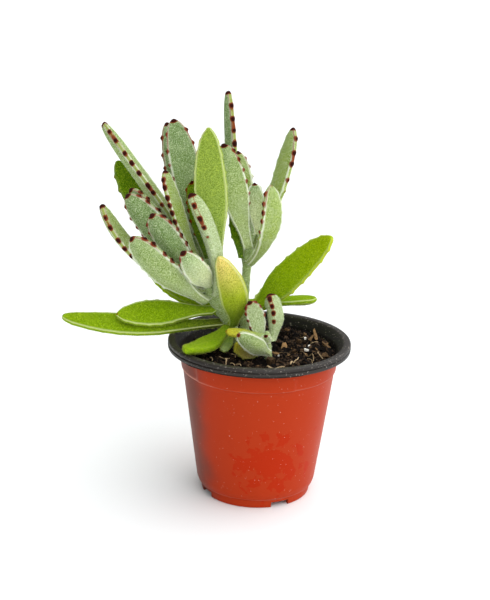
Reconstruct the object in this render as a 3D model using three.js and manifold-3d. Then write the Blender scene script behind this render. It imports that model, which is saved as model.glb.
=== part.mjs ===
// A potted panda plant (Kalanchoe tomentosa) in a small two-colour nursery pot.
// Millimetres, +Z up. The origin is the middle of the pot's underside, on the surface that it stands on.
// +X is to the right and -Y is the front.

import * as THREE from "three";
import { mergeVertices } from "three/addons/utils/BufferGeometryUtils.js";
import Module from "manifold-3d";

const wasm = await Module();
wasm.setup();

const DEGREE = Math.PI / 180;
const CLEARANCE = 0.3; // between neighbouring pieces

// Driving dimensions of the pot, radii and heights
const POT = {
  height: 78.5,
  rimRadius: 45,
  rimDepth: 4, // how far the rolled rim reaches down
  mouthRadius: 41.5,
  collarTopRadius: 39.4,
  collarFootRadius: 38.1,
  collarFoot: 64.6,
  wallTopRadius: 37.4,
  wallFootRadius: 29.6,
  wallFoot: 7.6,
  footRadius: 27,
  footHeight: 4.4,
  hubRadius: 8, // the pad in the middle of the underside
  floorUnderside: 3.4,
  floorTop: 4.8,
  wall: 1.2,
  sides: 48,
};
const PANEL = { proud: 0.6, from: -140, to: -63 }; // raised part of the collar, and one opposite
const NOTCH = { height: 2.8, width: 9.5, depth: 6, first: -63, count: 4 }; // gaps in the foot ring
const DRAIN = { radius: 1.7, ring: 18, depth: 4, count: 8, sides: 10 };

// Driving dimensions of the soil: its level, the height of its lumps, and how much higher the back right is
const SOIL = { level: 71.5, relief: 1.1, mound: 2.4, rings: 9, sides: 40 };

// Driving dimensions of a leaf, as shares of its width or length unless a unit is given
const LEAF = {
  petioleWidth: 4.7, // mm, at the stalk
  fullAt: 0.62, // where along its length the blade is widest
  taper: 2.4, // higher is blunter at the tip
  toothedFrom: 0.36,
  toothedTo: 0.93,
  toothHeight: 0.75, // mm
  gapDepth: 0.3, // how far the gaps between teeth cut in, as a share of the tooth height
  marginThickness: 2.2, // mm, the blunt edge that carries the teeth
  upperSwell: 0.5, // mm
  keel: 0.17, // depth of the underside below the margin, as a share of the width
  tipRound: 0.96, // how nearly the two edges meet at the tip
  plainSections: 5,
  fullSizeFrom: 12, // mm, the width below which stalk, teeth and edge are smaller too
};

// How a stem is drawn: its sections, its sides, and the swollen rings that fallen leaves leave behind
const BARK = { sections: 14, sides: 8, ringSwell: 0.16 };

// Stems: the points that each passes through, and its radius at the foot and at the tip
const STEMS = {
  main: {
    radius: [3.1, 2.4],
    path: [
      [-9, 15, 55], [-12, 14, 72], [-15, 12.5, 82], [-20, 11, 90], [-24, 9.5, 97],
      [-26, 8.5, 104], [-27, 8, 116],
    ],
  },
  right: {
    radius: [2.5, 1.8],
    path: [
      [-6, 21, 56], [-7, 20.5, 72], [-8, 20, 86], [-7.5, 20, 102], [-6.5, 20, 120], [-6, 20, 128],
    ],
  },
  offset: {
    radius: [2, 1.4],
    path: [[4, -6, 58], [4.5, -8, 72], [4, -8, 79], [3.5, -7, 85]],
  },
};

// Leaves, shoot by shoot. at: height of the joint on the stem. side: the side of the stem it grows from, in
// degrees from +X towards +Y. tip: where its point is. looks: the way its upper face looks. bow: how far its
// middle hangs below the straight line from joint to tip. sway: the same, sideways. teeth: along each edge.
// fullAt, taper, swell, keel and toothHeight: where one isn't shaped as the others are. A swell below 0 is a
// channel along the upper side.
const SHOOTS = [
  {
    name: "rosette",
    stem: "main",
    leaves: [
      { at: 95, side: 220, tip: [-62, -8, 130], width: 15, bow: 4, sway: 0, looks: [0, 1, 0.4], teeth: 6 },
      {
        at: 100, side: 162, tip: [-78, 10, 141], width: 14, bow: 8, sway: 0,
        looks: [0.8, -0.2, 1], teeth: 7, swell: -0.6,
      },
      {
        at: 104.4, side: 222, tip: [-53.2, -2, 140], width: 13.5, bow: 1, sway: 0,
        looks: [0, 1, 0.2], teeth: 6,
      },
      { at: 106, side: 180, tip: [-66, 12, 146], width: 14, bow: 1, sway: 0, looks: [0.1, 1, 0], teeth: 6 },
      {
        at: 105, side: 145, tip: [-65, 20, 147], width: 12, bow: 0, sway: 0,
        looks: [-0.3, -1, -0.4], teeth: 6,
      },
      {
        at: 112, side: 121, tip: [-80.3, 44, 175], width: 13, bow: -1.5, sway: 0,
        looks: [1, 0, 0.8], teeth: 8, swell: -2, keel: 4.2, taper: 1.8,
      },
      { at: 95, side: 155, tip: [-74, 46, 155], width: 15, bow: 5, sway: 0, looks: [0.4, -1, 0.4], teeth: 6 },
      {
        at: 104, side: 276, tip: [-37.8, -12, 124.7], width: 11.5, bow: 3, sway: 0,
        looks: [-0.6, 1, 0.6], teeth: 3, toothHeight: 0.4, fullAt: 0.45,
      },
      {
        at: 104, side: 46, tip: [-45, 30, 180], width: 15.5, bow: 3, sway: 0,
        looks: [0.1, -1, 0.3], teeth: 7,
      },
      {
        at: 98.5, side: 76, tip: [-49, 42, 176], width: 14, bow: 4, sway: 0,
        looks: [0.1, -1, 0.3], teeth: 7,
      },
      {
        at: 114, side: 192, tip: [-48, 13, 158], width: 11, bow: 1, sway: 0,
        looks: [1, -0.5, 0.4], teeth: 7,
      },
      {
        at: 107, side: 352, tip: [-27, 5, 181], width: 15.5, bow: -1.5, sway: 0.8,
        looks: [-0.1, -1, 0.2], teeth: 6, toothHeight: 0.3, taper: 1.8,
      },
      {
        at: 111, side: 60, tip: [-35, 18, 152], width: 11, bow: 1, sway: 0,
        looks: [-0.3, -1, 0.2], teeth: 5,
      },
      {
        at: 99, side: 314, tip: [-34.5, -9, 152], width: 12, bow: 4, sway: 0,
        looks: [-1, 0.05, -0.1], teeth: 6, toothHeight: 0.4, swell: 2.4, keel: 3.2,
      },
      { at: 93, side: 106, tip: [-46, 60, 130], width: 14, bow: 5, sway: 0, looks: [0, -1, 0.6], teeth: 6 },
    ],
  },
  {
    name: "low",
    stem: "main",
    leaves: [
      {
        at: 89, side: 190, tip: [-70, 2, 88], width: 14, bow: -0.3, sway: 0,
        looks: [0, -1, 1], teeth: 5, toothHeight: 0.35, taper: 1.8,
      },
      {
        at: 82, side: 177, tip: [-97, 6, 85], width: 13, bow: -1.7, sway: 5,
        looks: [0, -0.6, 1], teeth: 6, toothHeight: 0.2, taper: 1.6,
      },
      {
        at: 80.6, side: 242, tip: [-34.8, -29, 82], width: 11, bow: 3, sway: 0,
        looks: [0.4, 0.8, 0.6], teeth: 4,
        toothHeight: 0.2, fullAt: 0.5, taper: 1.5,
      },
      {
        at: 86, side: 118, tip: [-56, 27, 108], width: 15, bow: 3, sway: 0,
        looks: [0.3, -0.6, 1], teeth: 5, toothHeight: 0.35,
      },
      {
        at: 82.8, side: 302, tip: [-20.5, -7, 121], width: 13.5, bow: 3, sway: 3.7,
        looks: [0, 1, 0.3], teeth: 3,
        toothHeight: 0.2, fullAt: 0.45, taper: 2,
      },
      { at: 90, side: 50, tip: [-31, 57, 97], width: 14, bow: 3, sway: 0, looks: [0, -0.3, 1], teeth: 5 },
      {
        at: 77, side: 262, tip: [-17.3, -12, 75.6], width: 5, bow: 0, sway: 0,
        looks: [0, -0.5, 1], teeth: 2,
      },
    ],
  },
  {
    name: "right",
    stem: "right",
    leaves: [
      {
        at: 109, side: 92, tip: [-18.5, 46, 192], width: 12, bow: 0, sway: -5,
        looks: [1, 0.4, 0], teeth: 8,
      },
      {
        at: 120, side: 268, tip: [-20, 17, 171], width: 14, bow: 1, sway: 0,
        looks: [0.2, -1, 0.2], teeth: 6,
      },
      { at: 122, side: 102, tip: [-13, 30, 165], width: 11, bow: 0, sway: 0, looks: [0, -1, 0.2], teeth: 6 },
      {
        at: 126, side: 350, tip: [-4.5, 22.5, 151], width: 9, bow: 0, sway: 0,
        looks: [0, -1, 0.2], teeth: 3,
      },
      {
        at: 112, side: 300, tip: [3.3, 13, 152], width: 12, bow: 7, sway: 0,
        looks: [-0.8, 1, 0.3], teeth: 6,
      },
      {
        at: 118.5, side: 28, tip: [14, 32, 177], width: 11.5, bow: 1, sway: -1.5,
        looks: [-1, -0.7, 0.4], teeth: 6,
      },
      { at: 114, side: 192, tip: [-14.8, 22, 138], width: 6, bow: 0, sway: 0, looks: [0, -1, 0.2], teeth: 3 },
      {
        at: 85.5, side: 322, tip: [33, 2, 130], width: 16.5, bow: 1, sway: 1.5,
        looks: [-0.9, -1, 0.4], teeth: 5,
        toothHeight: 0.55, fullAt: 0.45, taper: 2,
      },
      {
        at: 90.5, side: 28, tip: [28, 24, 92], width: 11, bow: 0, sway: 0,
        looks: [0, 0, 1], teeth: 4, toothHeight: 0.2,
      },
      { at: 101, side: 84, tip: [-6, 50, 138], width: 8.5, bow: 4, sway: 0, looks: [0, -1, 0.5], teeth: 6 },
      { at: 84, side: 65, tip: [16, 52, 97], width: 14, bow: 3, sway: 0, looks: [0, -0.3, 1], teeth: 5 },
    ],
  },
  {
    name: "offset",
    stem: "offset",
    leaves: [
      {
        at: 78, side: 160, tip: [-5.6, -7, 99.3], width: 9, bow: 1, sway: -1.5,
        looks: [0.3, -1, 0.2], teeth: 4,
      },
      {
        at: 80, side: 60, tip: [4, 0, 101], width: 10, bow: 2.2, sway: 0,
        looks: [-1, 0.1, -0.1], teeth: 4, toothHeight: 0.2, swell: 2.6, keel: 3.6,
      },
      {
        at: 75, side: 275, tip: [-10.5, -23, 88], width: 9, bow: 1.5, sway: 0,
        looks: [-0.5, 0.8, 0.2], teeth: 3, toothHeight: 0.1, fullAt: 0.5,
      },
      { at: 80, side: 262, tip: [2.8, -15, 85.3], width: 5, bow: 0.5, sway: 0, looks: [0, 1, 0.4], teeth: 2 },
      {
        at: 83, side: 232, tip: [-16.2, -11.5, 85.3], width: 8, bow: 0, sway: 0,
        looks: [0, -0.2, 1], teeth: 2,
      },
      {
        at: 75, side: 205, tip: [-11.4, -17.5, 81.2], width: 8.5, bow: 0.5, sway: 1.5,
        looks: [0, -1, 0.25], teeth: 2,
      },
    ],
  },
];

const FINISH = {
  leaf: { color: 0x8fab86, roughness: 0.9, metalness: 0 },
  stem: { color: 0xa9b98c, roughness: 0.9, metalness: 0 },
  pot: { color: 0xb23a24, roughness: 0.45, metalness: 0 },
  soil: { color: 0x241b15, roughness: 1, metalness: 0 },
};

// A closed surface as a solid, with its shared points merged.
function toSolid(geometry) {
  const bare = geometry.clone();
  bare.deleteAttribute("normal");
  bare.deleteAttribute("uv");
  const merged = mergeVertices(bare, 1e-3);
  const vertProperties = merged.attributes.position.array;
  const triVerts = new Uint32Array(merged.index.array);
  return new wasm.Manifold(new wasm.Mesh({ numProp: 3, vertProperties, triVerts }));
}

function toGeometry(solid) {
  const { vertProperties, triVerts } = solid.getMesh();
  const geometry = new THREE.BufferGeometry();
  geometry.setAttribute("position", new THREE.BufferAttribute(vertProperties, 3));
  geometry.setIndex(new THREE.BufferAttribute(triVerts, 1));
  return geometry;
}

function piece(name, geometry, finish) {
  geometry.computeVertexNormals();
  const mesh = new THREE.Mesh(geometry, new THREE.MeshStandardMaterial(finish));
  mesh.name = name;
  return mesh;
}

// A closed skin over rings of equally many points, with a fan over each end.
function loft(rings) {
  const around = rings[0].length;
  const centres = [rings[0], rings.at(-1)].map((ring) =>
    ring.reduce((sum, p) => sum.add(p), new THREE.Vector3()).divideScalar(around),
  );
  const points = [...rings.flat(), ...centres];
  const [foot, tip] = [points.length - 2, points.length - 1];
  const faces = [];
  const top = (rings.length - 1) * around;
  for (let i = 0; i < around; i++) {
    const j = (i + 1) % around;
    for (let row = 0; row < top; row += around) {
      faces.push(row + i, row + j, row + around + j);
      faces.push(row + i, row + around + j, row + around + i);
    }
    faces.push(foot, j, i);
    faces.push(tip, top + i, top + j);
  }
  const geometry = new THREE.BufferGeometry().setFromPoints(points);
  geometry.setIndex(faces);
  return geometry;
}

function stemCurve({ path }) {
  return new THREE.CatmullRomCurve3(path.map((p) => new THREE.Vector3(...p)));
}

function stemRadius({ radius: [foot, tip] }, share) {
  return THREE.MathUtils.lerp(foot, tip, share);
}

// The stem's point and direction at a height, and that point's share of the way up.
function stemAt(stem, height) {
  const curve = stemCurve(stem);
  let [low, high] = [0, 1];
  for (let i = 0; i < 30; i++) {
    const middle = (low + high) / 2;
    if (curve.getPointAt(middle).z < height) low = middle;
    else high = middle;
  }
  return { point: curve.getPointAt(low), tangent: curve.getTangentAt(low), share: low };
}

// Points along a stem, with its radius at each.
function stemAxis(stem) {
  const curve = stemCurve(stem);
  const steps = 80; // about 1 mm apart
  return Array.from({ length: steps + 1 }, (_, i) => ({
    point: curve.getPointAt(i / steps),
    radius: stemRadius(stem, i / steps),
  }));
}

// A round stem with the swollen rings of fallen leaves. grow widens it for the hole in the soil.
function stemGeometry(stem, grow = 0) {
  const { sections, sides, ringSwell } = BARK;
  const curve = stemCurve(stem);
  const frames = curve.computeFrenetFrames(sections, false);
  const rings = [];
  for (let i = 0; i <= sections; i++) {
    const swell = grow ? 0 : ringSwell * (i % 2);
    const radius = stemRadius(stem, i / sections) + swell + grow;
    const middle = curve.getPointAt(i / sections).addScaledVector(frames.tangents[0], i === 0 ? -grow : 0);
    rings.push(
      Array.from({ length: sides }, (_, k) => {
        const angle = (2 * Math.PI * k) / sides;
        return middle
          .clone()
          .addScaledVector(frames.normals[i], radius * Math.cos(angle))
          .addScaledVector(frames.binormals[i], radius * Math.sin(angle));
      }),
    );
  }
  return loft(rings);
}

// The share of the full half width at a share of the length: narrow stalk, broad middle, blunt round tip.
function bladeOutline({ fullAt = LEAF.fullAt, taper = LEAF.taper }, share, stalk) {
  const widen = THREE.MathUtils.smootherstep(share, 0, fullAt);
  const past = Math.max(0, (share - fullAt) / (1 - fullAt));
  const round = Math.sqrt(1 - LEAF.tipRound * past ** taper);
  return (stalk + (1 - stalk) * widen) * round;
}

// Where the cross-sections lie: a few along the plain stalk, then one in each gap and on each tooth.
function leafSections(teeth) {
  const plain = Array.from({ length: LEAF.plainSections }, (_, i) => ({
    share: (LEAF.toothedFrom * i) / LEAF.plainSections,
    tooth: 0,
  }));
  const toothed = Array.from({ length: 2 * teeth }, (_, i) => ({
    share: THREE.MathUtils.lerp(LEAF.toothedFrom, LEAF.toothedTo, i / (2 * teeth - 1)),
    tooth: i % 2,
  }));
  return [...plain, ...toothed, { share: 1, tooth: 0 }];
}

// The way along a leaf from a foot to its tip, its upward side and its direction across.
function leafAxes(leaf, foot) {
  const chord = new THREE.Vector3(...leaf.tip).sub(foot);
  const along = chord.clone().normalize();
  const up = new THREE.Vector3(...leaf.looks);
  up.addScaledVector(along, -up.dot(along)).normalize();
  return { chord, up, across: new THREE.Vector3().crossVectors(up, along) };
}

// The sections of a fleshy leaf: nearly flat above, keeled below, with a blunt toothed edge. The body has its
// full depth wherever the blade is more than nine tenths of its full width.
function leafRings(leaf, foot) {
  const { chord, up, across } = leafAxes(leaf, foot);
  const small = Math.min(1, leaf.width / LEAF.fullSizeFrom);
  const margin = LEAF.marginThickness * small;
  const bend = up.clone().multiplyScalar(-leaf.bow).addScaledVector(across, leaf.sway);
  const { toothHeight = LEAF.toothHeight, swell = LEAF.upperSwell, keel = LEAF.keel * leaf.width } = leaf;

  return leafSections(leaf.teeth).map(({ share, tooth }) => {
    const [arch, slope] = [4 * share * (1 - share), 4 * (1 - 2 * share)];
    const middle = foot.clone().addScaledVector(chord, share).addScaledVector(bend, arch);
    const tangent = chord.clone().addScaledVector(bend, slope).normalize();
    const above = new THREE.Vector3().crossVectors(tangent, across).normalize();
    const aside = new THREE.Vector3().crossVectors(above, tangent);
    const half = 0.5 * leaf.width * bladeOutline(leaf, share, (LEAF.petioleWidth * small) / leaf.width);
    const edge = share < LEAF.toothedFrom ? half : half + toothHeight * small * (tooth - LEAF.gapDepth);
    const full = Math.min(1, (2.2 * half) / leaf.width);
    const rim = Math.min(0.5 * margin, 0.8 * half);
    const [top, bottom] = [rim + swell * full, -rim - keel * full];
    const section = [[edge, rim], [0, top], [-edge, rim], [-edge, -rim], [0, bottom], [edge, -rim]];
    return section.map(([x, z]) => middle.clone().addScaledVector(aside, x).addScaledVector(above, z));
  });
}

// How far the stalk end of a leaf is from the bark, measured at its corners and half way between them.
function gapToBark(rings, axis) {
  const stalk = rings.slice(0, LEAF.plainSections);
  const points = stalk.flatMap((ring) => [
    ...ring,
    ...ring.map((corner, i) => corner.clone().lerp(ring[(i + 1) % ring.length], 0.5)),
    ring[0].clone().lerp(ring[3], 0.5),
  ]);
  return Math.min(...points.flatMap((p) => axis.map(({ point, radius }) => p.distanceTo(point) - radius)));
}

// Where a leaf meets its stem: moved in or out along its side until it is just clear of the bark.
function leafFoot(leaf, stem) {
  const joint = stemAt(stem, leaf.at);
  const outward = new THREE.Vector3(Math.cos(leaf.side * DEGREE), Math.sin(leaf.side * DEGREE), 0);
  const axis = stemAxis(stem);
  const reach = stemRadius(stem, joint.share) + LEAF.petioleWidth;
  const foot = joint.point.clone().addScaledVector(outward, reach);
  const rounds = 8;
  for (let i = 0; i < rounds; i++) {
    foot.addScaledVector(outward, CLEARANCE - gapToBark(leafRings(leaf, foot), axis));
  }
  return foot;
}

// The pot's section, from the middle of the underside out, up the outside, over the rim and down the inside.
function potGeometry() {
  const p = POT;
  const rimFoot = p.height - p.rimDepth;
  const outline = [
    [0, 0], [p.hubRadius, 0], [p.hubRadius + 0.6, p.floorUnderside],
    [p.footRadius - 1.9, p.floorUnderside], [p.footRadius - 1.6, 0], [p.footRadius - 0.3, 0],
    [p.footRadius, 0.5], [p.footRadius + 0.4, p.footHeight], [p.wallFootRadius - 0.9, p.footHeight + 0.5],
    [p.wallFootRadius, p.wallFoot], [p.wallTopRadius, p.collarFoot - 0.6],
    [p.collarFootRadius, p.collarFoot], [p.collarTopRadius, rimFoot],
    [p.rimRadius - 0.6, rimFoot], [p.rimRadius, rimFoot + 0.6], [p.rimRadius, rimFoot + 1.4],
    [p.rimRadius - 0.5, rimFoot + 1.9], [p.rimRadius - 0.1, rimFoot + 2.6],
    [p.rimRadius - 0.3, p.height - 0.4],
    [p.rimRadius - 1, p.height], [p.mouthRadius + 0.7, p.height], [p.mouthRadius, p.height - 0.6],
    [p.collarTopRadius - 0.9, rimFoot - 0.3], [p.collarTopRadius - p.wall, rimFoot - 2],
    [p.wallTopRadius - p.wall, p.collarFoot], [p.wallFootRadius - p.wall, p.wallFoot],
    [p.wallFootRadius - p.wall - 1.2, p.floorTop], [0, p.floorTop],
  ];
  const turned = new THREE.LatheGeometry(outline.map(([r, z]) => new THREE.Vector2(r, z)), p.sides);
  turned.rotateX(Math.PI / 2);
  let pot = toSolid(turned);
  for (const turn of [0, 180]) pot = pot.add(collarPanel(turn));
  for (let i = 0; i < NOTCH.count; i++) {
    const notch = new THREE.BoxGeometry(NOTCH.depth, NOTCH.width, 2 * NOTCH.height);
    notch.translate(p.footRadius, 0, 0);
    notch.rotateZ((NOTCH.first + (360 / NOTCH.count) * i) * DEGREE);
    pot = pot.subtract(toSolid(notch));
  }
  for (let i = 0; i < DRAIN.count; i++) {
    const hole = new THREE.CylinderGeometry(DRAIN.radius, DRAIN.radius, DRAIN.depth, DRAIN.sides);
    hole.rotateX(Math.PI / 2);
    hole.translate(DRAIN.ring, 0, p.floorTop);
    hole.rotateZ(((360 / DRAIN.count) * (i + 0.5) + NOTCH.first) * DEGREE);
    pot = pot.subtract(toSolid(hole));
  }
  return toGeometry(pot);
}

// The raised part of the collar: a curved pad that stands proud of it between two upright creases.
function collarPanel(turn) {
  const steps = 12;
  const foot = POT.collarFoot - 0.3;
  const head = POT.height - POT.rimDepth + 0.5;
  const rings = Array.from({ length: steps + 1 }, (_, i) => {
    const angle = (turn + THREE.MathUtils.lerp(PANEL.from, PANEL.to, i / steps)) * DEGREE;
    const out = i === 0 || i === steps ? 0 : PANEL.proud;
    const corner = (radius, z) => new THREE.Vector3(radius * Math.cos(angle), radius * Math.sin(angle), z);
    return [
      corner(POT.collarTopRadius - 0.8, head),
      corner(POT.collarTopRadius + out, head),
      corner(POT.collarFootRadius + out, foot),
      corner(POT.collarFootRadius - 0.8, foot),
    ];
  });
  return toSolid(loft(rings));
}

function insideRadius(height) {
  const share = Math.min(1, (height - POT.wallFoot) / (POT.collarFoot - POT.wallFoot));
  return THREE.MathUtils.lerp(POT.wallFootRadius, POT.wallTopRadius, share) - POT.wall - CLEARANCE;
}

// Potting mix: a lumpy surface, higher at the back right, over a block that fills the pot.
function soilGeometry() {
  const { rings, sides, relief, mound, level } = SOIL;
  const bottom = POT.floorTop + CLEARANCE;
  const lump = (x, y) =>
    relief * (Math.sin(0.55 * x + 1.3) * Math.cos(0.48 * y - 0.4) + 0.6 * Math.sin(0.9 * y + 0.35 * x)) +
    mound * THREE.MathUtils.smoothstep(0.6 * x + 0.8 * y, 0, 32);
  const ring = (radius, height) =>
    Array.from({ length: sides }, (_, k) => {
      const angle = (2 * Math.PI * k) / sides;
      const [x, y] = [radius * Math.cos(angle), radius * Math.sin(angle)];
      return new THREE.Vector3(x, y, height(x, y));
    });
  const edge = insideRadius(level - 6);
  const skin = [
    ring(insideRadius(bottom + 3) - 2.4, () => bottom),
    ring(insideRadius(POT.wallFoot), () => POT.wallFoot),
    ring(insideRadius(POT.collarFoot - 1), () => POT.collarFoot - 1),
  ];
  for (let i = rings; i >= 1; i--) skin.push(ring((edge * i) / rings, (x, y) => level + lump(x, y)));
  let soil = toSolid(loft(skin));
  for (const stem of Object.values(STEMS)) soil = soil.subtract(toSolid(stemGeometry(stem, CLEARANCE)));
  return toGeometry(soil);
}

const plant = new THREE.Group();
plant.add(piece("pot", potGeometry(), FINISH.pot));
plant.add(piece("soil", soilGeometry(), FINISH.soil));
for (const [name, stem] of Object.entries(STEMS)) {
  plant.add(piece("stem_" + name, stemGeometry(stem), FINISH.stem));
}
for (const shoot of SHOOTS) {
  shoot.leaves.forEach((leaf, i) => {
    const name = "leaf_" + shoot.name + "_" + String(i + 1).padStart(2, "0");
    const foot = leafFoot(leaf, STEMS[shoot.stem]);
    plant.add(piece(name, loft(leafRings(leaf, foot)), FINISH.leaf));
  });
}

export default plant;
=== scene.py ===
"""Looks of a potted panda plant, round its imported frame: felted leaves, stems, soil and nursery pot."""

import logging
import math
from dataclasses import dataclass
from enum import Enum

import bmesh
import bpy
import numpy as np
from mathutils import Matrix, Vector, noise


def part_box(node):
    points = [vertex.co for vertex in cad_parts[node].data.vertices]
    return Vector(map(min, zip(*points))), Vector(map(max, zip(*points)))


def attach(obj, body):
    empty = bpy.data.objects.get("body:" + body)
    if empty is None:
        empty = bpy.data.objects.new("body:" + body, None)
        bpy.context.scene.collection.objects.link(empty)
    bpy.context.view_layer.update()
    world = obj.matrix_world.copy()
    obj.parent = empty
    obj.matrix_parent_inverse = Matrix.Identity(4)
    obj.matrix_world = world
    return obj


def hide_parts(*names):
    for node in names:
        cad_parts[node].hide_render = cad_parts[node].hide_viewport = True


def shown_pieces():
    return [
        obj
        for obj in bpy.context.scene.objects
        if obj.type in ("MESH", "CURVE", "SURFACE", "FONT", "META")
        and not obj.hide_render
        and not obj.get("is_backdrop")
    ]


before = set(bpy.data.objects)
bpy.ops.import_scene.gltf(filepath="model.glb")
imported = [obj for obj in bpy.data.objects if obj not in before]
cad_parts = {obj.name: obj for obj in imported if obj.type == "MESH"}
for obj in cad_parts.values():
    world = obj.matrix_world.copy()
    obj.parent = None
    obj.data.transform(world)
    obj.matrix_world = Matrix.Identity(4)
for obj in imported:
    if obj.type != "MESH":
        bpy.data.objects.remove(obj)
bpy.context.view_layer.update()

LOG = logging.getLogger("potted_panda_plant")
MM = 0.001
BODY = "root"

Points = np.ndarray
Colour = tuple[float, float, float, float]
Faces = list[tuple[int, ...]]
Place = tuple[float, float, float]


def linear(hex_colour: str) -> Colour:
    """Turns an sRGB hex colour into the linear colour that a shader takes.

    Args:
        hex_colour: A colour such as "#8fae8b".

    Returns:
        Red, green, blue and full opacity, each from 0 to 1.
    """
    channels = [int(hex_colour[i : i + 2], 16) / 255 for i in (1, 3, 5)]
    red, green, blue = (c / 12.92 if c <= 0.04045 else ((c + 0.055) / 1.055) ** 2.4 for c in channels)
    return red, green, blue, 1.0


def add(
    tree: bpy.types.NodeTree, kind: str, inputs: dict | None = None, **settings: object
) -> bpy.types.Node:
    """Adds one node to a tree, with its settings and links.

    Args:
        tree: The tree that the node goes into.
        kind: The node's type, as Blender names it.
        inputs: For each input, by name or number, a plain value or the output socket that feeds it.
        settings: The node's own properties.

    Returns:
        The new node.
    """
    node = tree.nodes.new(kind)
    for name, value in settings.items():
        setattr(node, name, value)
    for key, value in (inputs or {}).items():
        if isinstance(value, bpy.types.NodeSocket):
            tree.links.new(value, node.inputs[key])
        else:
            node.inputs[key].default_value = value
    return node


def put_in_scene(name: str, data: bpy.types.ID) -> bpy.types.Object:
    """Makes an object of a mesh, a light or a camera, and puts it in the scene.

    Args:
        name: The object's name.
        data: The mesh, light or camera.

    Returns:
        The object.
    """
    item = bpy.data.objects.new(name, data)
    bpy.context.scene.collection.objects.link(item)
    return item


def smoothstep(x: Points | float, low: float, high: float) -> Points:
    """Goes smoothly from 0 at low to 1 at high."""
    share = np.clip((np.asarray(x, float) - low) / (high - low), 0, 1)
    return share * share * (3 - 2 * share)


def smootherstep(x: Points | float, low: float, high: float) -> Points:
    """Goes from 0 at low to 1 at high, with no bend at either end."""
    share = np.clip((np.asarray(x, float) - low) / (high - low), 0, 1)
    return share**3 * (share * (share * 6 - 15) + 10)


def unit(vector: Points) -> Points:
    """Gives a vector, or each row of several, the length 1."""
    return vector / np.linalg.norm(vector, axis=-1, keepdims=True)


def catmull_rom(path: list[Place], per_span: int = 24) -> Points:
    """Draws the centripetal spline that a stem follows.

    Args:
        path: The points that it passes through, in mm.
        per_span: How many steps there are between two of them.

    Returns:
        Its points, in mm.
    """
    given = np.array(path, float)
    points = np.vstack([2 * given[0] - given[1], given, 2 * given[-1] - given[-2]])
    drawn = []
    for p0, p1, p2, p3 in zip(points, points[1:], points[2:], points[3:]):
        d0, d1, d2 = (math.sqrt(np.linalg.norm(b - a)) for a, b in ((p0, p1), (p1, p2), (p2, p3)))
        leave = ((p1 - p0) / d0 - (p2 - p0) / (d0 + d1) + (p2 - p1) / d1) * d1
        arrive = ((p2 - p1) / d1 - (p3 - p1) / (d1 + d2) + (p3 - p2) / d2) * d1
        for t in np.arange(per_span) / per_span:
            square = (3 * (p2 - p1) - 2 * leave - arrive) * t**2
            drawn.append(p1 + leave * t + square + (2 * (p1 - p2) + leave + arrive) * t**3)
    return np.array([*drawn, given[-1]])


def ring_angles(around: int) -> Points:
    """Gives the angles of a ring's points, in radians."""
    return np.linspace(0, 2 * math.pi, around, endpoint=False)


def skin_faces(rows: int, around: int) -> Faces:
    """Lists the faces of a closed skin over rings of points, whose two end points come last.

    Args:
        rows: How many rings there are.
        around: How many points each ring has.

    Returns:
        The faces, as tuples of point numbers.
    """
    faces: Faces = []
    for row in range(rows - 1):
        for i in range(around):
            j = (i + 1) % around
            low, high = row * around, (row + 1) * around
            faces.append((low + i, low + j, high + j, high + i))
    first, last = rows * around, rows * around + 1
    for i in range(around):
        j = (i + 1) % around
        faces.append((first, j, i))
        faces.append((last, (rows - 1) * around + i, (rows - 1) * around + j))
    return faces


def tube(line: Points, level: Place, radius: Points, around: int) -> tuple[Points, Faces]:
    """Draws a closed tube along a line.

    Args:
        line: Points along its middle, in mm.
        level: A direction that the line never takes.
        radius: Its radius for each ring, or for each point of each ring, in mm.
        around: How many points each ring has.

    Returns:
        Its points, ring by ring with the two ends last, and its faces.
    """
    along = unit(np.gradient(line, axis=0))
    side = unit(np.cross(along, level))
    other = np.cross(along, side)
    angle = ring_angles(around)
    ring = side[:, None] * np.cos(angle)[None, :, None] + other[:, None] * np.sin(angle)[None, :, None]
    rings = line[:, None] + ring * radius[..., None]
    return np.concatenate([rings.reshape(-1, 3), [line[0], line[-1]]]), skin_faces(len(line), around)


def make_mesh(name: str, points: Points, faces: Faces, smooth: bool = True) -> bpy.types.Object:
    """Makes a mesh object at the origin, with its place in its mesh.

    Args:
        name: The object's name.
        points: Its points, in mm.
        faces: Its faces, as point numbers.
        smooth: Whether it is shaded as a curved surface.

    Returns:
        The object, in the scene.
    """
    mesh = bpy.data.meshes.new(name)
    mesh.from_pydata((np.asarray(points, float) * MM).tolist(), [], faces)
    mesh.polygons.foreach_set("use_smooth", [smooth] * len(mesh.polygons))
    mesh.update()
    return put_in_scene(name, mesh)


def set_values(piece: bpy.types.Object, name: str, values: Points) -> None:
    """Stores one number, or one colour, at each point of a piece under a name that materials read.

    Args:
        piece: The piece.
        name: The name.
        values: The numbers or colours, in the order of its points.
    """
    values = np.asarray(values, np.float32)
    kind, key = ("FLOAT", "value") if values.ndim == 1 else ("FLOAT_COLOR", "color")
    piece.data.attributes.new(name, kind, "POINT").data.foreach_set(key, values.ravel())


def bake_modifiers(piece: bpy.types.Object) -> None:
    """Turns what a piece's modifiers make into its own plain mesh, and removes them.

    Args:
        piece: The piece.
    """
    shown = piece.evaluated_get(bpy.context.evaluated_depsgraph_get())
    mesh = bpy.data.meshes.new_from_object(shown)
    piece.modifiers.clear()
    piece.data = mesh


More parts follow.
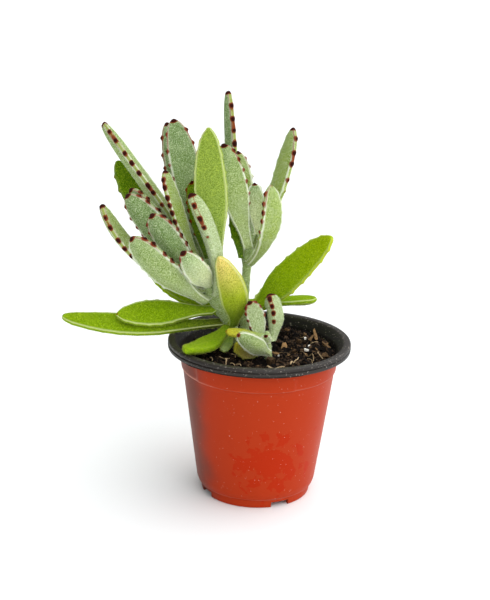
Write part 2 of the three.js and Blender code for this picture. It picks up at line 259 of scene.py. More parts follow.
def start_scatter(
    name: str, sizes: tuple[str, ...], number: str, where: str
) -> tuple[bpy.types.NodeTree, bpy.types.bpy_prop_collection, bpy.types.Node]:
    """Starts a geometry tree that scatters points over a surface.

    Args:
        name: The tree's name.
        sizes: The names of its inputs for sizes, in metres.
        number: The name of its input for the number of points per square metre.
        where: The surface's value that says how thickly they lie.

    Returns:
        The tree, its inputs and the node that scatters the points.
    """
    tree = bpy.data.node_groups.new(name, "GeometryNodeTree")
    tree.interface.new_socket("Geometry", in_out="INPUT", socket_type="NodeSocketGeometry")
    for size in (*sizes, number):
        tree.interface.new_socket(size, in_out="INPUT", socket_type="NodeSocketFloat")
    tree.interface.new_socket("Seed", in_out="INPUT", socket_type="NodeSocketInt")
    tree.interface.new_socket("Geometry", in_out="OUTPUT", socket_type="NodeSocketGeometry")
    given = add(tree, "NodeGroupInput").outputs
    thickly = add(tree, "GeometryNodeInputNamedAttribute", {"Name": where}, data_type="FLOAT")
    factors = {0: given[number], 1: thickly.outputs["Attribute"]}
    density = add(tree, "ShaderNodeMath", factors, operation="MULTIPLY")
    points = add(
        tree,
        "GeometryNodeDistributePointsOnFaces",
        {"Mesh": given["Geometry"], "Density": density.outputs[0], "Seed": given["Seed"]},
        distribute_method="RANDOM",
    )
    return tree, given, points


def run_tree(piece: bpy.types.Object, tree: bpy.types.NodeTree, inputs: dict[str, float]) -> None:
    """Runs a geometry tree on a piece and keeps what it makes as the piece's own plain mesh.

    Args:
        piece: The piece.
        tree: The tree.
        inputs: The value of each of its named inputs.
    """
    modifier = piece.modifiers.new(tree.name, "NODES")
    modifier.node_group = tree
    for socket in tree.interface.items_tree:
        if socket.in_out == "INPUT" and socket.name in inputs:
            modifier[socket.identifier] = inputs[socket.name]
    bake_modifiers(piece)


def hand_over(piece: bpy.types.Object, slot: str, *nodes: str) -> None:
    """Tells the frame what a finished piece rides on and which nodes it stands for.

    Args:
        piece: The piece.
        slot: The material slot, which is not used.
        nodes: The names of the nodes.
    """
    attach(piece, BODY)
    if nodes:
        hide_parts(*nodes)
    LOG.info("%s: %d faces", piece.name, len(piece.data.polygons))


@dataclass(frozen=True)
class Layer:
    """A colour laid over others, which shows fully where the value that it follows reaches high."""

    value: bpy.types.NodeSocket
    low: float
    high: float
    cover: float  # how much it hides what lies below, from 0 to 1
    colour: str
    blend: str = "MIX"


def lay_colours(
    tree: bpy.types.NodeTree, colour: Colour | bpy.types.NodeSocket, layers: tuple[Layer, ...]
) -> bpy.types.NodeSocket:
    """Lays colours over one another.

    Args:
        tree: The material's tree.
        colour: What lies below them all.
        layers: The colours, from the lowest to the topmost.

    Returns:
        The colour that results.
    """
    for layer in layers:
        limits = {"Value": layer.value, "From Min": layer.low, "From Max": layer.high, "To Max": layer.cover}
        share = add(tree, "ShaderNodeMapRange", limits, interpolation_type="SMOOTHSTEP")
        laid = {0: share.outputs["Result"], 6: colour, 7: linear(layer.colour)}
        colour = add(tree, "ShaderNodeMix", laid, data_type="RGBA", blend_type=layer.blend).outputs[2]
    return colour


@dataclass(frozen=True)
class Finish:
    """What all the finishes share: a name, and a material whose patterns lie on the piece's own places."""

    name: str

    def start(self) -> tuple[bpy.types.Material, bpy.types.NodeTree, bpy.types.NodeSocket]:
        """Makes the empty material.

        Returns:
            The material, its tree and the place on the piece.
        """
        made = bpy.data.materials.new(self.name)
        made.use_nodes = True
        tree = made.node_tree
        tree.nodes.clear()
        return made, tree, add(tree, "ShaderNodeTexCoord").outputs["Object"]


@dataclass(frozen=True)
class FeltFinish(Finish):
    """Felt of short hairs over a succulent leaf's waxy skin: matt, grainy, with a pale bloom in clouds."""

    tuft_size: float = 0.5  # mm, a tuft of hairs, drawn coarser than real ones so that it shows
    cloud_size: float = 7.0  # mm, how far one silvery cloud reaches
    roughness: float = 0.85
    shine: float = 0.12
    sheen: float = 0.06
    sheen_tint: str = "#eef4dc"
    shade: str = "#b2bc9a"  # the gaps between the tufts, as a share of the leaf's own colour
    tuft: str = "#dbe4bf"  # the lit ends of the tufts
    tuft_cover: float = 0.6
    bloom: str = "#b3c19c"
    bloom_cover: float = 0.3
    edge: str = "#929f42"  # the blunt edge between the two faces
    rim: str = "#f0f4e4"  # the whiter felt along the edge's two corners, partly a painted highlight on them
    halo: str = "#7c2d10"  # the rusty border of a spot
    spot: str = "#300500"
    blush: str = "#7c3a12"  # the rusty line between the spots
    bump: float = 0.45

    def material(self) -> bpy.types.Material:
        """Builds the felted skin, which gives the eye a soft grainy leaf with dark spots along its edge.

        Returns:
            The material.
        """
        made, tree, place = self.start()
        colour = add(tree, "ShaderNodeAttribute", attribute_name="tint").outputs["Color"]
        given = {
            name: add(tree, "ShaderNodeAttribute", attribute_name=name).outputs["Fac"]
            for name in ("band", "corner", "spot", "blush")
        }
        patterns = (
            {"Vector": place, "Scale": 1 / (size * MM), "Detail": 3.0, "Roughness": 0.6}
            for size in (self.tuft_size, self.cloud_size)
        )
        tufts, clouds = (add(tree, "ShaderNodeTexNoise", pattern).outputs["Fac"] for pattern in patterns)
        # The tufts make the outline of each spot ragged, and the clouds break up the blush.
        raised = {0: tufts, 1: 0.22, 2: given["spot"]}
        ragged = add(tree, "ShaderNodeMath", raised, operation="MULTIPLY_ADD").outputs[0]
        broken = {0: clouds, 1: given["blush"]}
        flushed = add(tree, "ShaderNodeMath", broken, operation="MULTIPLY").outputs[0]
        layers = (
            Layer(tufts, 0.64, 0.32, 1.0, self.shade, "MULTIPLY"),
            Layer(tufts, 0.52, 0.7, self.tuft_cover, self.tuft),
            Layer(clouds, 0.42, 0.72, self.bloom_cover, self.bloom),
            Layer(given["band"], 0.0, 1.0, 0.85, self.edge),
            # Whiter felt along the corners, partly a painted highlight on them.
            Layer(given["corner"], 0.0, 1.0, 0.75, self.rim),
            Layer(flushed, 0.15, 0.45, 0.8, self.blush),
            Layer(ragged, 0.41, 0.55, 0.95, self.halo),
            Layer(ragged, 0.58, 0.72, 1.0, self.spot),
        )
        bump = add(tree, "ShaderNodeBump", {"Height": tufts, "Strength": self.bump, "Distance": 0.2 * MM})
        skin = add(
            tree,
            "ShaderNodeBsdfPrincipled",
            {
                "Base Color": lay_colours(tree, colour, layers),
                "Roughness": self.roughness,
                "Specular IOR Level": self.shine,
                "Sheen Weight": self.sheen,
                "Sheen Roughness": 0.5,
                "Sheen Tint": linear(self.sheen_tint),
                "Subsurface Weight": 0.1,
                "Subsurface Radius": (0.6, 1.0, 0.1),
                "Subsurface Scale": 1.2 * MM,
                "Normal": bump.outputs["Normal"],
            },
        )
        add(tree, "ShaderNodeOutputMaterial", {"Surface": skin.outputs[0]})
        return made


@dataclass(frozen=True)
class HairFinish(Finish):
    """Dry plant hair: a soft pale strand that scatters light."""

    light: str
    dark: str
    patch_size: float = 3.0  # mm

    def material(self) -> bpy.types.Material:
        """Builds the hair's material, which gives the eye a bright fuzzy outline round each leaf.

        Returns:
            The material.
        """
        made, tree, place = self.start()
        pattern = {"Vector": place, "Scale": 1 / (self.patch_size * MM), "Detail": 1.0}
        patch = add(tree, "ShaderNodeTexNoise", pattern)
        blend = {0: patch.outputs["Fac"], 6: linear(self.dark), 7: linear(self.light)}
        colour = add(tree, "ShaderNodeMix", blend, data_type="RGBA").outputs[2]
        strand = add(
            tree,
            "ShaderNodeBsdfPrincipled",
            {"Base Color": colour, "Roughness": 0.8, "Specular IOR Level": 0.15, "Sheen Weight": 0.1},
        )
        add(tree, "ShaderNodeOutputMaterial", {"Surface": strand.outputs[0]})
        return made


@dataclass
class HairCoat:
    """Fine upright hairs, planted over a felted surface by geometry nodes where its fuzz value says."""

    finish: HairFinish
    length: float = 0.65  # mm
    thickness: float = 0.085  # mm across the root, thicker than a real hair so that it shows
    per_square_mm: float = 2.9
    size_range: tuple[float, float] = (0.55, 1.2)  # the smallest and the largest hair, as shares
    lean: float = 0.75  # radians, the furthest that a hair leans over
    tree: bpy.types.NodeTree | None = None

    def build_tree(self, material: bpy.types.Material) -> None:
        """Makes the node tree that plants the hairs.

        Args:
            material: What the hairs are made of.
        """
        tree, given, roots = start_scatter(
            "felt_hairs", ("Hair length", "Hair thickness"), "Hairs per square metre", "fuzz"
        )
        lean = add(
            tree,
            "FunctionNodeRandomValue",
            {
                "Min": (-self.lean, -self.lean, 0.0),
                "Max": (self.lean, self.lean, 2 * math.pi),
                "Seed": given["Seed"],
            },
            data_type="FLOAT_VECTOR",
        )
        turned = add(tree, "FunctionNodeEulerToRotation", {0: lean.outputs["Value"]})
        stance = add(
            tree,
            "FunctionNodeRotateRotation",
            {"Rotation": roots.outputs["Rotation"], "Rotate By": turned.outputs[0]},
            rotation_space="LOCAL",
        )
        least, most = self.size_range
        range_of_sizes = {2: least, 3: most, "Seed": given["Seed"]}
        size = add(tree, "FunctionNodeRandomValue", range_of_sizes, data_type="FLOAT")
        strand = add(
            tree,
            "GeometryNodeMeshCone",
            {
                "Vertices": 3,
                "Side Segments": 1,
                "Radius Top": 0.0,
                "Radius Bottom": given["Hair thickness"],
                "Depth": given["Hair length"],
            },
            fill_type="NGON",
        )
        planted = add(
            tree,
            "GeometryNodeInstanceOnPoints",
            {
                "Points": roots.outputs["Points"],
                "Instance": strand.outputs["Mesh"],
                "Rotation": stance.outputs[0],
                "Scale": size.outputs[1],
            },
        )
        real = add(tree, "GeometryNodeRealizeInstances", {"Geometry": planted.outputs["Instances"]})
        dressed = add(tree, "GeometryNodeSetMaterial", {"Geometry": real.outputs[0], "Material": material})
        joined = add(tree, "GeometryNodeJoinGeometry")
        tree.links.new(dressed.outputs[0], joined.inputs[0])
        tree.links.new(given["Geometry"], joined.inputs[0])
        add(tree, "NodeGroupOutput", {"Geometry": joined.outputs[0]})
        self.tree = tree

    def grow(self, piece: bpy.types.Object, seed: int) -> None:
        """Plants the hairs on a piece and makes them part of its mesh.

        Args:
            piece: The felted piece, whose fuzz value says where hairs stand.
            seed: Sets the random places.
        """
        if self.tree is None:
            self.build_tree(self.finish.material())
        inputs = {
            "Hair length": self.length * MM,
            "Hair thickness": self.thickness / 2 * MM,
            "Hairs per square metre": self.per_square_mm / MM**2,
            "Seed": seed,
        }
        run_tree(piece, self.tree, inputs)


@dataclass(frozen=True)
class LeafColours:
    """How a leaf's skin is coloured from its stalk to its tip, and how brightly its edge stands out."""

    foot: str
    middle: str
    tip: str
    band: float = 1.0  # how yellow the blunt edge is
    corner: float = 1.0  # how white the felt is along the edge's two corners, partly as a painted highlight
    fuzz: float = 1.0  # how thick the hairs stand


class Tone(Enum):
    """The leaf colours that this plant shows, from its youngest leaves to its dying ones; two also hold
    painted shade.
    """

    SILVER = LeafColours("#b2c282", "#8ba666", "#809a62", band=0.35)
    SAGE = LeafColours("#bccb8e", "#a8bc74", "#97ae6c", band=0.35)
    MEADOW = LeafColours("#b0c074", "#9fb54c", "#a0b662", band=0.35)
    FROSTED = LeafColours("#c6d4a4", "#bccc9c", "#b0c08e", band=0.2)
    YOUNG = LeafColours("#f6fad4", "#e4eeba", "#98b07a", band=0.2)
    BRIGHT = LeafColours("#9fb56e", "#a0b85c", "#94ac4c", band=0.15, corner=0.8, fuzz=1.0)
    # Dark green of older leaves, partly painted shade for leaves that lie deep in the rosette's shadow.
    DEEP = LeafColours("#6a8c3a", "#5e840c", "#5c800c", band=0.15, corner=0.2, fuzz=0.4)
    LIME = LeafColours("#84a422", "#82a60e", "#88aa14", band=0.15, corner=0.7, fuzz=0.5)
    OLIVE = LeafColours("#8cae1c", "#94b406", "#9eb804", band=0.9, corner=0.35, fuzz=0.35)
    YELLOWING = LeafColours("#88a430", "#bccc38", "#f8dc88", band=0.1, corner=0.8, fuzz=0.8)
    # Painted shade: a dark foot for a leaf whose lower part lies in shadow under the one above.
    SHADED = LeafColours("#46561c", "#82a60e", "#88aa14", band=0.15, corner=0.7, fuzz=0.5)
    MOSSY = LeafColours("#566e2a", "#7a9650", "#a2b684", band=0.1, corner=0.2, fuzz=1.2)
    DYING = LeafColours("#a3b884", "#b4b84c", "#d0c440", band=0.1, corner=0.1, fuzz=0.4)
    WITHERED = LeafColours("#a3b884", "#c0a874", "#a89a34", band=0.1, corner=0.1, fuzz=0.4)


class Blade:
    """The shape rule that all the leaves share, in mm and in shares of the leaf's length."""

    STALK = 4.7  # the stalk's width
    TOOTHED_FROM = 0.36  # the teeth stand from here to the next, as shares of the length
    TOOTHED_TO = 0.93
    TOOTH_HEIGHT = 0.75
    TOOTH_REACH = 1.0  # half the length of one tooth
    GAP_DEPTH = 0.3  # how far the edge draws in between teeth, as a share of their height
    MARGIN = 2.2  # how thick the blunt edge is
    SWELL = 0.5  # how far the upper face bulges beyond the edge
    KEEL = 0.17  # how far the underside does, as a share of the width
    TIP_ROUND = 0.96
    FULL_SIZE_FROM = 12.0  # narrower leaves have smaller details
    CORNER = 0.42  # the rounding of the edge's corners
    WAVE = 0.12  # the slow wave of the edge
    RIPPLE = 0.16  # the soft swells over the faces
    SPOT_REACH = 2.4  # how far a spot's colour spreads
    SPOT_TAIL = 0.72  # how much less it fades towards the foot than towards the tip
    CAP_REACH = 0.66  # how far the spot at the tip spreads, as a share of another's reach
    CAP_EXTRA = 0.3  # and the length added to that
    CAP_CORE = 1.06  # its strength in the middle
    BLUSH_ALONG = (0.55, 0.9)  # where the rusty line begins and is full
    BARE_SPOT = (0.12, 0.35)  # the strength at which hairs begin to thin out over a spot, and end
    FUZZ = (0.9, 3.2, 0.5)  # how thick the hairs stand on the faces, the corners and the blunt edge
    ACROSS = np.array([1.0, 0.86, 0.66, 0.4, 0.13])  # where the points of a face lie, from edge to middle
    EDGE_RISE = (0.7, 0.92, 1.0, 0.92, 0.7)  # how far a tooth carries the points of the blunt edge out
    FACE_RISE = 0.35  # and the outermost points of a face
    BY_TOOTH = np.array([-1.7, -1.15, -0.8, -0.5, -0.25, 0, 0.25, 0.5, 0.8, 1.15, 1.7])  # sections near one
    BY_TIP = np.array([0.95, 0.97, 0.985, 0.994])  # and near the tip, as shares of the length


@dataclass
class Edge:
    """One edge of a leaf: how far out it runs and where its spots are. Sizes in mm."""

    line: Points  # its distance from the middle at each cross-section, without the teeth
    rise: Points  # how far the teeth stand out from that
    spots: list[tuple[float, float]]  # the place along the leaf and the strength of each spot


@dataclass
class Sections:
    """A leaf's cross-sections, as one row of points each, and what lies where on them. Sizes in mm."""

    x: Points
    z: Points
    minus: Points  # whether a point lies on the minus side
    inward: Points  # how far it lies in from its edge
    bands: Points  # how far it is on the blunt edge, from 0 to 1
    corners: Points  # how near it is to a corner of the blunt edge


@dataclass
class Leaf:
    """One felted leaf, from its seat on the stem to its tip, drawn over the node that it stands for."""

    name: str
    tip: Place  # mm
    width: float  # mm
    bow: float  # mm, how far its middle lies below the straight way to the tip
    sway: float  # mm, how far its middle lies aside
    looks: Place  # the direction that its upper face looks in
    teeth: int
    tone: Tone
    spots: tuple[float, float] = (1.0, 1.0)  # how strong they are on each edge
    cap: float = 1.0  # how strong the spot at the tip is
    full_at: float = 0.62  # the share of the length where it is broadest
    taper: float = 2.4  # how late and how bluntly it narrows from there to the tip
    swell: float = Blade.SWELL  # mm; below 0 it is a channel along the upper side
    keel: float | None = None  # mm
    tooth_height: float = Blade.TOOTH_HEIGHT  # mm
    band: float | None = None  # how yellow the blunt edge is, where it isn't as its tone has it
    corner: float | None = None  # how white the edge's corners are, partly as a painted highlight, where they aren't as its tone has them
    spots_from: float = 0.3  # the share of the length from which spots show
    point: float = 0.0  # mm, a small sharp point beyond the round tip

    @property
    def small(self) -> float:
        """Says how far the details of a small leaf are scaled down, where 1 is full size."""
        return min(1.0, self.width / Blade.FULL_SIZE_FROM)

    def seat(self) -> Points:
        """Finds the middle of the leaf's flat foot on its node.

        Returns:
            That point, in mm.
        """
        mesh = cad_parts["leaf_" + self.name].data
        corners = np.array([v.co for v in mesh.vertices]) / MM
        places, which = np.unique(corners.round(3), axis=0, return_inverse=True)
        faces = which.ravel()[np.array([p.vertices[:] for p in mesh.polygons])]
        first, second, third = (places[faces[:, i]] for i in range(3))
        normals = unit(np.cross(second - first, third - first))
        ends = []
        for point in range(len(places)):
            around = normals[(faces == point).any(axis=1)]
            if (around @ around[0]).min() > 0.9999:
                ends.append(places[point])
        return max(ends, key=lambda end: np.linalg.norm(end - np.array(self.tip)))

    def outline(self, share: Points, stalk: float) -> Points:
        """Gives the share of the full half width along the leaf: narrow stalk, broad middle, round tip.

        Args:
            share: The places along the leaf.
            stalk: The stalk's width, as a share of the leaf's.

        Returns:
            The share at each place.
        """
        past = np.clip((share - self.full_at) / (1 - self.full_at), 0, 1)
        body = stalk + (1 - stalk) * smootherstep(share, 0, self.full_at)
        return body * np.sqrt(1 - Blade.TIP_ROUND * past**self.taper)

    def rule(self, share: Points) -> dict[str, Points]:
        """Works out the sizes of the leaf's section along its length.

        Args:
            share: The places along the leaf, from 0 at its foot to 1 at its tip.

        Returns:
            half, rim, swell and keel, in mm.
        """
        half = 0.5 * self.width * self.outline(share, Blade.STALK * self.small / self.width)
        full = np.minimum(1, 2.2 * half / self.width)
        return {
            "half": half,
            "rim": np.minimum(0.5 * Blade.MARGIN * self.small, 0.8 * half),
            "swell": self.swell * full,
            "keel": (Blade.KEEL * self.width if self.keel is None else self.keel) * full,
        }

    def axes(self, foot: Points) -> tuple[Points, Points, Points]:
        """Gives the straight way from the foot to the tip, the leaf's bend and its direction across.

        Args:
            foot: Where the leaf's middle line starts, in mm.

        Returns:
            The three, the first two in mm.
        """
        chord = np.array(self.tip) - foot
        along = unit(chord)
        up = np.array(self.looks, float)
        up = unit(up - along * (up @ along))
        across = np.cross(up, along)
        return chord, self.sway * across - self.bow * up, across

    def foot(self) -> Points:
        """Finds where the leaf's middle line starts, from the middle of its node's flat foot.

        Returns:
            That point, in mm.
        """
        middle = self.seat()
        start = self.rule(np.zeros(1))
        lift = (start["swell"][0] - start["keel"][0]) / 6
        foot = middle
        for _ in range(4):
            chord, bend, across = self.axes(foot)
            above = unit(np.cross(chord + 4 * bend, across))
            foot = middle - above * lift
        return foot

    def stations(self, length: float, centres: Points) -> Points:
        """Chooses where the cross-sections lie: evenly, closer at each tooth and closest at the tip.

        Args:
            length: The leaf's length, in mm.
            centres: Where evenly spaced teeth would stand.

        Returns:
            Their places along the leaf, from 0 to 1.
        """
        by_teeth = (centres[:, None] + Blade.BY_TOOTH / length).ravel()
        every = np.sort(np.concatenate([np.linspace(0, 1, 25), Blade.BY_TIP, by_teeth]))
        every = every[(every >= 0) & (every <= 1)]
        kept = [0.0]
        for share in every:
            if share - kept[-1] > 0.12 / length:
                kept.append(float(share))
        return np.array([*kept[:-1], 1.0])

    def edge(
        self,
        side: int,
        share: Points,
        length: float,
        half: Points,
        centres: Points,
        random: np.random.Generator,
    ) -> Edge:
        """Draws one edge, with its own small shifts of its teeth and its own strength of spots.

        Args:
            side: 0 for the plus side, 1 for the minus side.
            share: The places of the cross-sections along the leaf.
            length: The leaf's length, in mm.
            half: Its half width at each cross-section, in mm.
            centres: Where evenly spaced teeth would stand.
            random: Draws the irregularities.

        Returns:
            The edge.
        """
        small, start = self.small, Blade.TOOTHED_FROM
        span = Blade.TOOTHED_TO - start
        place = centres + random.uniform(-0.4, 0.4, self.teeth) * span / (2 * self.teeth)
        place[-1] = centres[-1]
        height = random.uniform(0.7, 1.1, self.teeth)
        away = (share[:, None] - place) * length / (Blade.TOOTH_REACH * (0.6 + 0.4 * small))
        nub = (height * np.exp(-np.abs(away) ** 2.6)).max(axis=1)
        gate = smoothstep(share, start - 0.08, start + 0.02)
        wave = Blade.WAVE * np.sin(share * random.uniform(9, 14) + random.uniform(0, 6))
        wave = wave * smoothstep(share, 0, 0.3)
        line = half - gate * Blade.GAP_DEPTH * self.tooth_height * small + wave * small
        rise = gate * (1 + Blade.GAP_DEPTH) * self.tooth_height * small * nub
        grown = smoothstep(place, self.spots_from - 0.1, self.spots_from + 0.3)
        strength = self.spots[side] * np.sqrt(grown) * random.uniform(0.75, 1.05, self.teeth)
        return Edge(line[:, None], rise[:, None], list(zip(place, strength)))

    def sections(self, sizes: dict[str, Points], edges: list[Edge]) -> Sections:
        """Draws the cross-sections, over the upper face to the minus edge and back along the underside.

        Args:
            sizes: The sizes of each section.
            edges: The plus edge and the minus edge.

        Returns:
            The sections.
        """
        rim = sizes["rim"][:, None]
        corner = np.minimum(Blade.CORNER, 0.45 * rim)

        def face(height: Points, power: float) -> tuple[Points, Points]:
            """Gives the points over one face, from its plus edge to its minus edge.

            Args:
                height: How high it swells, in mm.
                power: How it falls off towards the edges.

            Returns:
                Their places across and above the middle, in mm.
            """
            plus, minus = ((edge.line - corner) * Blade.ACROSS for edge in edges)
            u = np.concatenate([Blade.ACROSS, Blade.ACROSS[::-1]])
            return np.hstack([plus, -minus[:, ::-1]]), rim + height[:, None] * (1 - u**power)

        def corner_points(side: int, z_sign: int) -> tuple[Points, Points]:
            """Gives one corner of the blunt edge, from the face inwards.

            Args:
                side: 0 for the plus side, 1 for the minus side.
                z_sign: 1 above, -1 below.

            Returns:
                Its points' places across and above the middle, in mm.
            """
            line = edges[side].line
            x = np.hstack([line - 0.3 * corner, line])
            return (1 - 2 * side) * x, z_sign * np.hstack([rim - 0.3 * corner, rim - corner])

        def back(part: tuple[Points, Points]) -> tuple[Points, Points]:
            """Turns the order of a part's points round."""
            return part[0][:, ::-1], part[1][:, ::-1]

        under_x, under_z = face(sizes["keel"], 1.35)
        parts = (
            face(sizes["swell"], 2),
            corner_points(1, 1),
            (-edges[1].line - 0.1, 0 * rim),
            back(corner_points(1, -1)),
            back((under_x, -under_z)),
            corner_points(0, -1),
            (edges[0].line + 0.1, 0 * rim),
            back(corner_points(0, 1)),
        )
        x, z = (np.hstack([part[i] for part in parts]) for i in (0, 1))
        face_rise = np.array([Blade.FACE_RISE] + [0.0] * (2 * Blade.ACROSS.size - 2) + [Blade.FACE_RISE])
        rises = np.tile(np.concatenate([face_rise, Blade.EDGE_RISE]), 2)
        bands = np.tile(np.concatenate([0 * face_rise, [0.5, 1, 1, 1, 0.5]]), 2)
        corners = np.tile(np.concatenate([(face_rise > 0) * 0.8, [1, 0.3, 0, 0.3, 1]]), 2)
        minus = x < 0
        rise = np.where(minus, edges[1].rise, edges[0].rise) * rises
        inward = np.where(minus, edges[1].line, edges[0].line) - np.abs(x)
        return Sections(x + np.where(minus, -rise, rise), z, minus, inward, bands, corners)

    def spot_values(self, share: Points, length: float, sections: Sections, edges: list[Edge]) -> Points:
        """Says how deep each point lies in a spot, from 0 to 1.

        Args:
            share: The places of the cross-sections along the leaf.
            length: The leaf's length, in mm.
            sections: The cross-sections.
            edges: The plus edge and the minus edge.

        Returns:
            One row of values for each section.
        """
        spot = np.zeros_like(sections.x)
        for mine, edge in zip((~sections.minus, sections.minus), edges):
            for place, strength in edge.spots:
                ahead = (share[:, None] - place) * length
                ahead = np.where(ahead > 0, ahead, Blade.SPOT_TAIL * ahead)
                far = np.sqrt(ahead**2 + sections.inward**2 + (0.9 * sections.z) ** 2)
                near = strength * np.clip(1 - far / (Blade.SPOT_REACH * (0.5 + 0.5 * self.small)), 0, 1)
                spot = np.maximum(spot, np.where(mine, near, 0))
        far = np.sqrt(((1 - share[:, None]) * length) ** 2 + (0.55 * sections.x) ** 2)
        reach = Blade.CAP_REACH * Blade.SPOT_REACH * self.small + Blade.CAP_EXTRA
        return np.maximum(spot, self.cap * np.clip(Blade.CAP_CORE - far / reach, 0, 1))

    def build(self, stem: Points, seed: int) -> bpy.types.Object:
        """Makes the leaf's closed mesh, with the values that its colours and hairs follow.

        Args:
            stem: Points along the middle of the stem that carries it, in mm.
            seed: Sets its small irregularities.

        Returns:
            The leaf.
        """
        random = np.random.default_rng(seed)
        foot = self.foot()
        chord, bend, across = self.axes(foot)
        length = float(np.linalg.norm(chord))
        odd = 2 * np.arange(self.teeth) + 1
        span = Blade.TOOTHED_TO - Blade.TOOTHED_FROM
        centres = Blade.TOOTHED_FROM + span * odd / (2 * self.teeth - 1)
        share = self.stations(length, centres)
        sizes = self.rule(share)
        edges = [self.edge(side, share, length, sizes["half"], centres, random) for side in (0, 1)]
        sections = self.sections(sizes, edges)
        spot = self.spot_values(share, length, sections, edges)

        # The middle line, the directions of each section, and soft swells over the faces.
        arch = 4 * share * (1 - share)
        line = foot + chord * share[:, None] + bend * arch[:, None]
        tangent = unit(chord + bend * (4 * (1 - 2 * share))[:, None])
        above = unit(np.cross(tangent, across))
        aside = np.cross(above, tangent)
        x = sections.x
        ripple = Blade.RIPPLE * np.sin(share[:, None] * 11 + x * 0.55 + random.uniform(0, 6))
        z = sections.z + ripple * smoothstep(share, 0.1, 0.4)[:, None] * self.small
        rings = line[:, None] + x[..., None] * aside[:, None] + z[..., None] * above[:, None]

        # Two sections that sink the stalk into the stem, and two that round off the tip.
        joint = stem[np.argmin(np.linalg.norm(stem - foot, axis=1))]
        roots = [joint + (foot - joint) * s + (rings[0] - foot) * k for s, k in ((0.1, 0.78), (0.55, 0.95))]
        end, out = line[-1], tangent[-1]
        reach = 0.62 * self.small + self.point
        rounds = [end + out * reach * s + (rings[-1] - end) * k for s, k in ((0.5, 0.82), (0.95, 0.45))]
        rings = np.concatenate([roots, rings, rounds])
        ends = [rings[0].mean(axis=0), end + out * (reach + 0.13 * self.small)]
        rows, around = rings.shape[:2]
        points = np.concatenate([rings.reshape(-1, 3), ends])
        piece = make_mesh("felted_leaf_" + self.name, points, skin_faces(rows, around))
        self.dress(piece, share, sections, spot)
        return piece

    def dress(self, piece: bpy.types.Object, share: Points, sections: Sections, spot: Points) -> None:
        """Stores the values that the leaf's colours and hairs follow.

        Args:
            piece: The leaf.
            share: The places of the cross-sections along it.
            sections: The cross-sections.
            spot: How deep each of their points lies in a spot.
        """
        around = sections.x.shape[1]

        def spread(values: Points) -> Points:
            """Carries a value of each section point on to the added sections and the two end points.

            Args:
                values: The value at each point of the sections.

            Returns:
                The value at each point of the leaf.
            """
            full = np.broadcast_to(values, sections.x.shape)
            padded = np.concatenate([full[:1], full[:1], full, full[-1:], full[-1:]])
            return np.concatenate([padded.ravel(), [padded[0, 0], padded[-1, 0]]])

        colours = self.tone.value
        stops = np.array([linear(c)[:3] for c in (colours.foot, colours.middle, colours.tip)])
        whole = np.concatenate([np.repeat([0.0, 0.0, *share, 1.0, 1.0], around), [0.0, 1.0]])
        tint = np.stack([np.interp(whole, [0.05, 0.5, 0.95], stops[:, i]) for i in range(3)], axis=1)
        yellow = colours.band if self.band is None else self.band
        white = colours.corner if self.corner is None else self.corner
        bands, corners = sections.bands, sections.corners
        rusty = np.where(sections.minus, self.spots[1], self.spots[0])
        blush = rusty * np.maximum(0.3 * bands, corners) * smoothstep(share, *Blade.BLUSH_ALONG)[:, None]
        bare = (1 - smoothstep(spot, *Blade.BARE_SPOT)) * (1 - 0.7 * np.clip(blush, 0, 1))
        on_face, on_corner, on_band = Blade.FUZZ
        fuzz = spread((on_face + on_corner * corners + on_band * bands) * bare) * colours.fuzz
        fuzz[: 2 * around] = 0
        values = {
            "tint": np.hstack([tint, np.ones((len(tint), 1))]),
            "band": spread(bands) * yellow * smoothstep(whole, 0.2, 0.45),
            "corner": spread(corners) * white,
            "spot": spread(spot),
            "blush": spread(blush),
            "fuzz": fuzz,
        }
        for name, value in values.items():
            set_values(piece, name, value)


SILVER, SAGE, MEADOW, FROSTED, YOUNG = Tone.SILVER, Tone.SAGE, Tone.MEADOW, Tone.FROSTED, Tone.YOUNG
BRIGHT, DEEP, LIME, OLIVE = Tone.BRIGHT, Tone.DEEP, Tone.LIME, Tone.OLIVE
SHADED, MOSSY, YELLOWING, DYING, WITHERED = Tone.SHADED, Tone.MOSSY, Tone.YELLOWING, Tone.DYING, Tone.WITHERED


